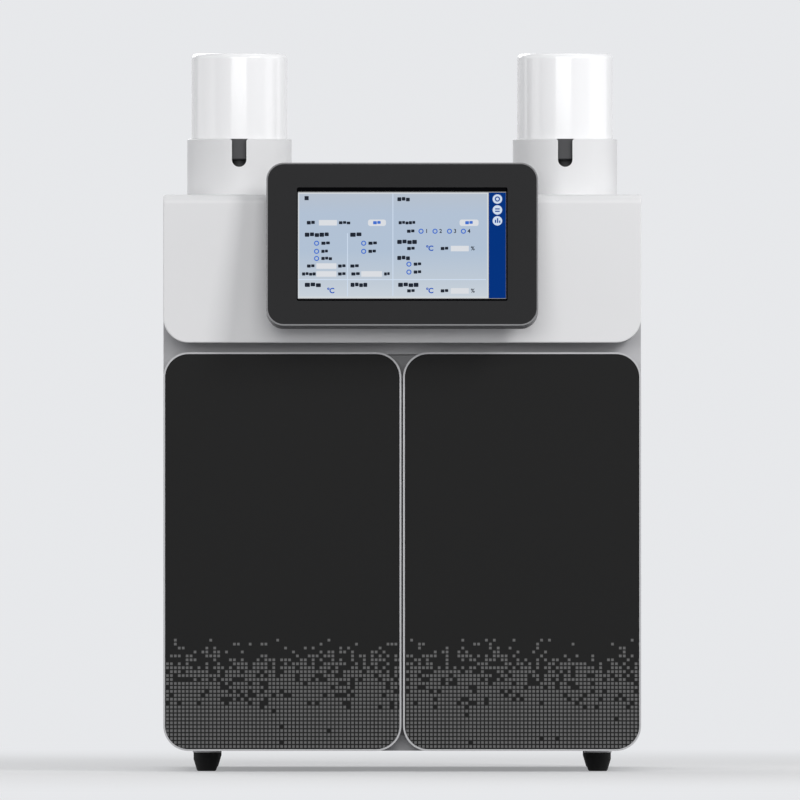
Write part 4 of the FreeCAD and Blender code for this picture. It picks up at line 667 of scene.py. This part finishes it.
# Choices with a ring before their label, and the row of numbered ones
CHOICES = (
    (316.7, 243.5, 9),
    (316.7, 251.6, 7),
    (316.7, 258.7, 11),
    (363.7, 243.5, 9),
    (363.7, 251.6, 8),
    (408.9, 264.4, 8),
    (408.9, 272.3, 8),
)
CHOICE_GAP = 4.6
NUMBER_ROW = 231.5
NUMBER_COLUMNS = (421, 435, 449.4, 463.3)
NUMBER_GAP = 5.6

# The two rows with a temperature and a share, and the single temperature below
VALUE_ROWS = (248.8, 291.1)
VALUE_LABEL_COLUMNS = (411, 444.5)
VALUE_LABEL_WIDTH = 8
DEGREES_COLUMN = 429.6
SHARE_FIELD_COLUMN = 459.7
SHARE_FIELD_WIDTH = 18
PERCENT_COLUMN = 472.7
LONE_DEGREES_COLUMN = 330.8
DEGREES_HEIGHT = 5.4
DEGREES_WEIGHT = 0.0002
DIGIT_HEIGHT = 4.2

# How far the layers lie in front of the screen, in metres
BORDER_LIFT = 0.00006
PANEL_LIFT = 0.0001
FIELD_LIFT = 0.0002
MARK_LIFT = 0.0003
EDGE_AND_SHADOW_LIFT = 0.0016


def screen_picture():
    blue = glow("ui_blue", srgb(28, 84, 184))
    white = glow("ui_white", srgb(218, 221, 226))
    panel = Layer("ui_panel", panel_glow(), PANEL_LIFT)
    border = Layer("ui_border", glow("ui_border", srgb(210, 215, 219)), BORDER_LIFT)
    strip = Layer("ui_strip", glow("ui_strip", srgb(0, 50, 126)), PANEL_LIFT)
    light = Layer("ui_fields", white, FIELD_LIFT)
    dark = Layer("ui_labels", glow("ui_dark", srgb(30, 36, 48)), MARK_LIFT)
    marks = Layer("ui_marks", glow("ui_mark", srgb(66, 112, 204)), MARK_LIFT)
    lines = Layer("ui_lines", glow("ui_line", srgb(206, 220, 238)), FIELD_LIFT)
    discs = Layer("ui_discs", glow("ui_disc", srgb(206, 220, 238)), FIELD_LIFT)
    icons = Layer("ui_icons", glow("ui_icon", srgb(24, 72, 150)), MARK_LIFT)
    panel.bar(*PANEL)
    border.bar(*BORDER)
    strip.bar(*SIDE_STRIP)
    for row in ICON_ROWS:
        discs.ring(ICON_COLUMN, row, *DISC_RADII)
    icons.ring(ICON_COLUMN, ICON_ROWS[0], *ICON_RADII)
    for bar in ICON_BARS:
        icons.bar(*bar)
    for bar in DIVIDERS:
        lines.bar(*bar)
    dark.bar(*TITLE_SQUARE)
    for label in LABELS:
        dark.words(*label)
    for column, row, wide in HEADINGS:
        dark.words(column, row, wide, HEADING_HEIGHT)
    for column, row, wide in FIELDS:
        light.bar(column, row, wide, FIELD_HEIGHT)
    for column, row, wide in BUTTONS:
        light.bar(column, row, wide, BUTTON_HEIGHT, BUTTON_RADIUS)
        marks.words(column, row, BUTTON_WORDS, LABEL_HEIGHT)
    for column, row, wide in CHOICES:
        marks.ring(column, row, *CHOICE_RADII)
        dark.words(column + CHOICE_GAP + wide / 2, row, wide, LABEL_HEIGHT)

    def number(words, name, column, row):
        screen_text(words, name, column, row, DIGIT_HEIGHT, dark.material, MARK_LIFT)

    def degrees(name, column, row):
        screen_text("°C", name, column, row, DEGREES_HEIGHT, blue, MARK_LIFT, DEGREES_WEIGHT)

    for count, column in enumerate(NUMBER_COLUMNS, 1):
        marks.ring(column, NUMBER_ROW, *CHOICE_RADII)
        number(str(count), f"ui_number_{count}", column + NUMBER_GAP, NUMBER_ROW)
    for count, row in enumerate(VALUE_ROWS, 1):
        for column in VALUE_LABEL_COLUMNS:
            dark.words(column, row, VALUE_LABEL_WIDTH, LABEL_HEIGHT)
        degrees(f"ui_degrees_{count}", DEGREES_COLUMN, row)
        light.bar(SHARE_FIELD_COLUMN, row, SHARE_FIELD_WIDTH, FIELD_HEIGHT)
        number("%", f"ui_percent_{count}", PERCENT_COLUMN, row)
    degrees("ui_degrees_3", LONE_DEGREES_COLUMN, VALUE_ROWS[-1])
    for layer in (border, panel, strip, light, discs, dark, marks, lines, icons):
        layer.finish()


def screen_surround():
    """The black edge of the glass round the lit screen. Its bands along the top and the right are drawn
    wider as painted shadow of the frame over the recessed screen.
    """
    black = surface("screen_surround", srgb(9, 9, 11), 0.6, specular=0.0)
    surround = Layer("screen_surround", black, EDGE_AND_SHADOW_LIFT)
    for bar in SCREEN_EDGE_AND_SHADOW:
        surround.bar(*bar)
    surround.finish()


# Screws: a head's height for a radius of 1, its cross recess, and the angles of its outline in degrees,
# which fall on the corners of the cross. The rings of the head are given as shares of the radius and of
# the height.
HEAD_HEIGHT = 0.42
CROSS_ARM = 0.62
CROSS_HALF = 0.13
CROSS_STEPS = (-11.8, 0, 11.8, 28, 45, 62)
RIM_RISE = 0.35
CROWN_REACH = 0.8
CROWN_RISE = 0.85
CROSS_FLOOR = 0.3


def facing(x, y, z, turned=0):
    """A base on a surface, with its middle at a point; turned 180 it faces the rear."""
    return Matrix.Translation((x, y, z)) @ Matrix.Rotation(math.radians(turned), 4, "Z")


def screw_head(build, base, radius):
    """A low domed head with a cross recess."""
    tall = radius * HEAD_HEIGHT
    arm, half = radius * CROSS_ARM, radius * CROSS_HALF
    angles = [math.radians(90 * quarter + step) for quarter in range(4) for step in CROSS_STEPS]

    def cross(angle):
        off_axis = abs((angle + math.pi / 4) % (math.pi / 2) - math.pi / 4)
        if off_axis <= math.atan2(half, arm) + 0.001:
            return arm / math.cos(off_axis)
        return half / math.sin(off_axis)

    def ring(reach, height):
        return [
            build.verts.new(base @ Vector((math.cos(a) * reach(a), -height, math.sin(a) * reach(a))))
            for a in angles
        ]

    rings = [
        ring(lambda a: radius, 0),
        ring(lambda a: radius, tall * RIM_RISE),
        ring(lambda a: radius * CROWN_REACH, tall * CROWN_RISE),
        ring(cross, tall),
        ring(cross, tall * CROSS_FLOOR),
    ]
    count = len(angles)
    for low, high in zip(rings, rings[1:]):
        for i in range(count):
            after = (i + 1) % count
            build.faces.new((low[i], low[after], high[after], high[i]))
    floor = build.verts.new(base @ Vector((0, -tall * CROSS_FLOOR, 0)))
    for i in range(count):
        build.faces.new((rings[-1][i], rings[-1][(i + 1) % count], floor))


def screws(name, material, bases, radius):
    build = bmesh.new()
    for base in bases:
        screw_head(build, base, radius)
    show(name, build, material, "cabinet")


def corners_of(box, margin):
    low, high = box
    return [(x, z) for x in (low.x + margin, high.x - margin) for z in (low.z + margin, high.z - margin)]


# Rear panel: the screws' distance from its edges, the lowest ones' height above its lower edge, how far
# the upper and the lower pairs stand from the middle, and the square of the fan's screws
PANEL_MARGIN = 8 * MM
LOWEST_SCREW = 34 * MM
UPPER_PAIR = 70 * MM
LOWER_PAIR = 90 * MM
PANEL_SCREW = 3.1 * MM
FAN_PITCH = 71.5 * MM
FAN_SCREW = 3.4 * MM


def rear_screws():
    low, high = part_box("rear_panel")
    steel = surface("screw_steel", srgb(176, 177, 178), 0.3, metal=1.0)
    black = surface("screw_black", srgb(34, 34, 36), 0.4, grain=0.01)
    middle = (low.x + high.x) / 2
    heights = (low.z + LOWEST_SCREW, (low.z + high.z) / 2, high.z - PANEL_MARGIN)
    spots = [(x, z) for x in (low.x + PANEL_MARGIN, high.x - PANEL_MARGIN) for z in heights]
    spots += [(x, high.z - PANEL_MARGIN) for x in (middle - UPPER_PAIR, middle + UPPER_PAIR)]
    spots += [(x, low.z + PANEL_MARGIN) for x in (middle - LOWER_PAIR, middle + LOWER_PAIR)]
    bases = [facing(x, high.y, z, 180) for x, z in spots]
    screws("rear_panel_screws", steel, bases, PANEL_SCREW)
    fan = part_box("fan_housing")
    fan_x, fan_z = (fan[0].x + fan[1].x) / 2, (fan[0].z + fan[1].z) / 2
    half = FAN_PITCH / 2
    bases = [facing(fan_x + sx * half, high.y, fan_z + sz * half, 180) for sx in (-1, 1) for sz in (-1, 1)]
    screws("fan_screws", black, bases, FAN_SCREW)


# Data sockets, in millimetres: the shift of each from the middle of the board, its width and its height.
# They stand on the board, and their shells line its sockets.
SOCKETS = ((-40, 16.0, 13.5), (-8, 14.0, 15.6), (26, 14.0, 7.6))
SOCKET_SEAT = 9.6 * MM
SHELL_WALL = 1.2 * MM
SHELL_LIP = 0.05 * MM
SHELL_DEPTH = 1.4 * MM
MOUTH_DEPTH = 0.5 * MM
LINING_DEPTH = 9.6 * MM

# Contacts: wide sockets hold more of them, and tall ones carry them under the roof
WIDE_SOCKET = 15
TALL_SOCKET = 10
WIDE_CONTACTS = 8
NARROW_CONTACTS = 5
CONTACT_MARGIN = 2.5 * MM
CONTACT_BACK = 0.2 * MM
CONTACT_FRONT = 2.5 * MM
ROOF_GAP = 1.2 * MM
FLOOR_GAP = 1.4 * MM


def upright_frame(left, right, low, high, y):
    return [(left, y, low), (right, y, low), (right, y, high), (left, y, high)]


def band(build, first, second):
    """Four walls between two frames."""
    near = [build.verts.new(point) for point in first]
    far = [build.verts.new(point) for point in second]
    for i in range(4):
        after = (i + 1) % 4
        build.faces.new((near[i], near[after], far[after], far[i]))


def data_sockets():
    """The metal shells of the data sockets, their dark linings and their contacts."""
    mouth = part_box("rear_panel")[1].y - MOUTH_DEPTH
    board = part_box("main_board")
    middle, seat = (board[0].x + board[1].x) / 2, board[0].z + SOCKET_SEAT
    metal = surface("socket_shell", srgb(170, 171, 174), 0.32, metal=1.0)
    inside = surface("socket_inside", srgb(14, 14, 15), 0.5)
    gold = surface("contact_gold", srgb(206, 170, 92), 0.3, metal=1.0)
    shells = bmesh.new()
    linings = bmesh.new()
    contacts = bmesh.new()
    for shift, wide, high in SOCKETS:
        x = middle + shift * MM
        left, right, top = x - wide / 2 * MM, x + wide / 2 * MM, seat + high * MM

        def inset(wall, y):
            return upright_frame(left + wall, right - wall, seat + wall, top - wall, y)

        front, back = mouth + SHELL_LIP, mouth - LINING_DEPTH
        band(shells, inset(-SHELL_LIP, mouth - SHELL_DEPTH), inset(-SHELL_LIP, front))
        band(shells, inset(-SHELL_LIP, front), inset(SHELL_WALL - SHELL_LIP, front))
        band(linings, inset(SHELL_WALL + SHELL_LIP, front), inset(SHELL_WALL + SHELL_LIP, back))
        linings.faces.new([linings.verts.new(point) for point in inset(SHELL_WALL + SHELL_LIP, back)])

        count = WIDE_CONTACTS if wide > WIDE_SOCKET else NARROW_CONTACTS
        level = top - SHELL_WALL - ROOF_GAP if high > TALL_SOCKET else seat + SHELL_WALL + FLOOR_GAP
        step = (right - left - 2 * CONTACT_MARGIN) / count
        inner, outer = back + CONTACT_BACK, mouth - CONTACT_FRONT
        for index in range(count):
            start = left + CONTACT_MARGIN + step * (index + 0.25)
            end = start + step / 2
            plan = ((start, inner), (end, inner), (end, outer), (start, outer))
            corners = [(x, y, level) for x, y in plan]
            contacts.faces.new([contacts.verts.new(point) for point in corners])
    show("socket_shells", shells, metal, "cabinet")
    show("socket_linings", linings, inside, "cabinet")
    show("socket_contacts", contacts, gold, "cabinet")


# Bays: the thickness of their rear wall, the depth of the degasser's step, and the distance of the
# screws from the edges of each piece
BAY_SHEET = 1.5 * MM
BAY_MARGIN = 13 * MM
BAY_SCREW = 2.8 * MM
DEGASSER_STEP = 8 * MM
DEGASSER_MARGIN = 6 * MM
DEGASSER_SCREW = 2.2 * MM
HEATER_MARGIN = 6.5 * MM
HEATER_SCREW = 2.4 * MM


def bay_screws():
    steel = surface("bay_screw_steel", srgb(186, 187, 189), 0.26, metal=1.0)
    black = surface("case_screws", srgb(44, 45, 48), 0.36, grain=0.01)
    bases = []
    for side in ("left", "right"):
        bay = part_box(f"{side}_bay")
        bases += [facing(x, bay[1].y - BAY_SHEET, z) for x, z in corners_of(bay, BAY_MARGIN)]
    screws("bay_screws", steel, bases, BAY_SCREW)
    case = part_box("degasser")
    bases = [facing(x, case[0].y + DEGASSER_STEP, z) for x, z in corners_of(case, DEGASSER_MARGIN)]
    screws("degasser_screws", black, bases, DEGASSER_SCREW)
    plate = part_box("column_heater")
    bases = [facing(x, plate[0].y, z) for x, z in corners_of(plate, HEATER_MARGIN)]
    screws("heater_screws", steel, bases, HEATER_SCREW)


add_camera()
add_stage()
for light in LIGHTS:
    add_light(*light)
dress_cabinet()
dress_display()
dress_canisters()
dress_flow_path()
dress_electronics()
screen_picture()
screen_surround()
rear_screws()
data_sockets()
bay_screws()
bpy.context.scene.view_settings.view_transform = "Standard"
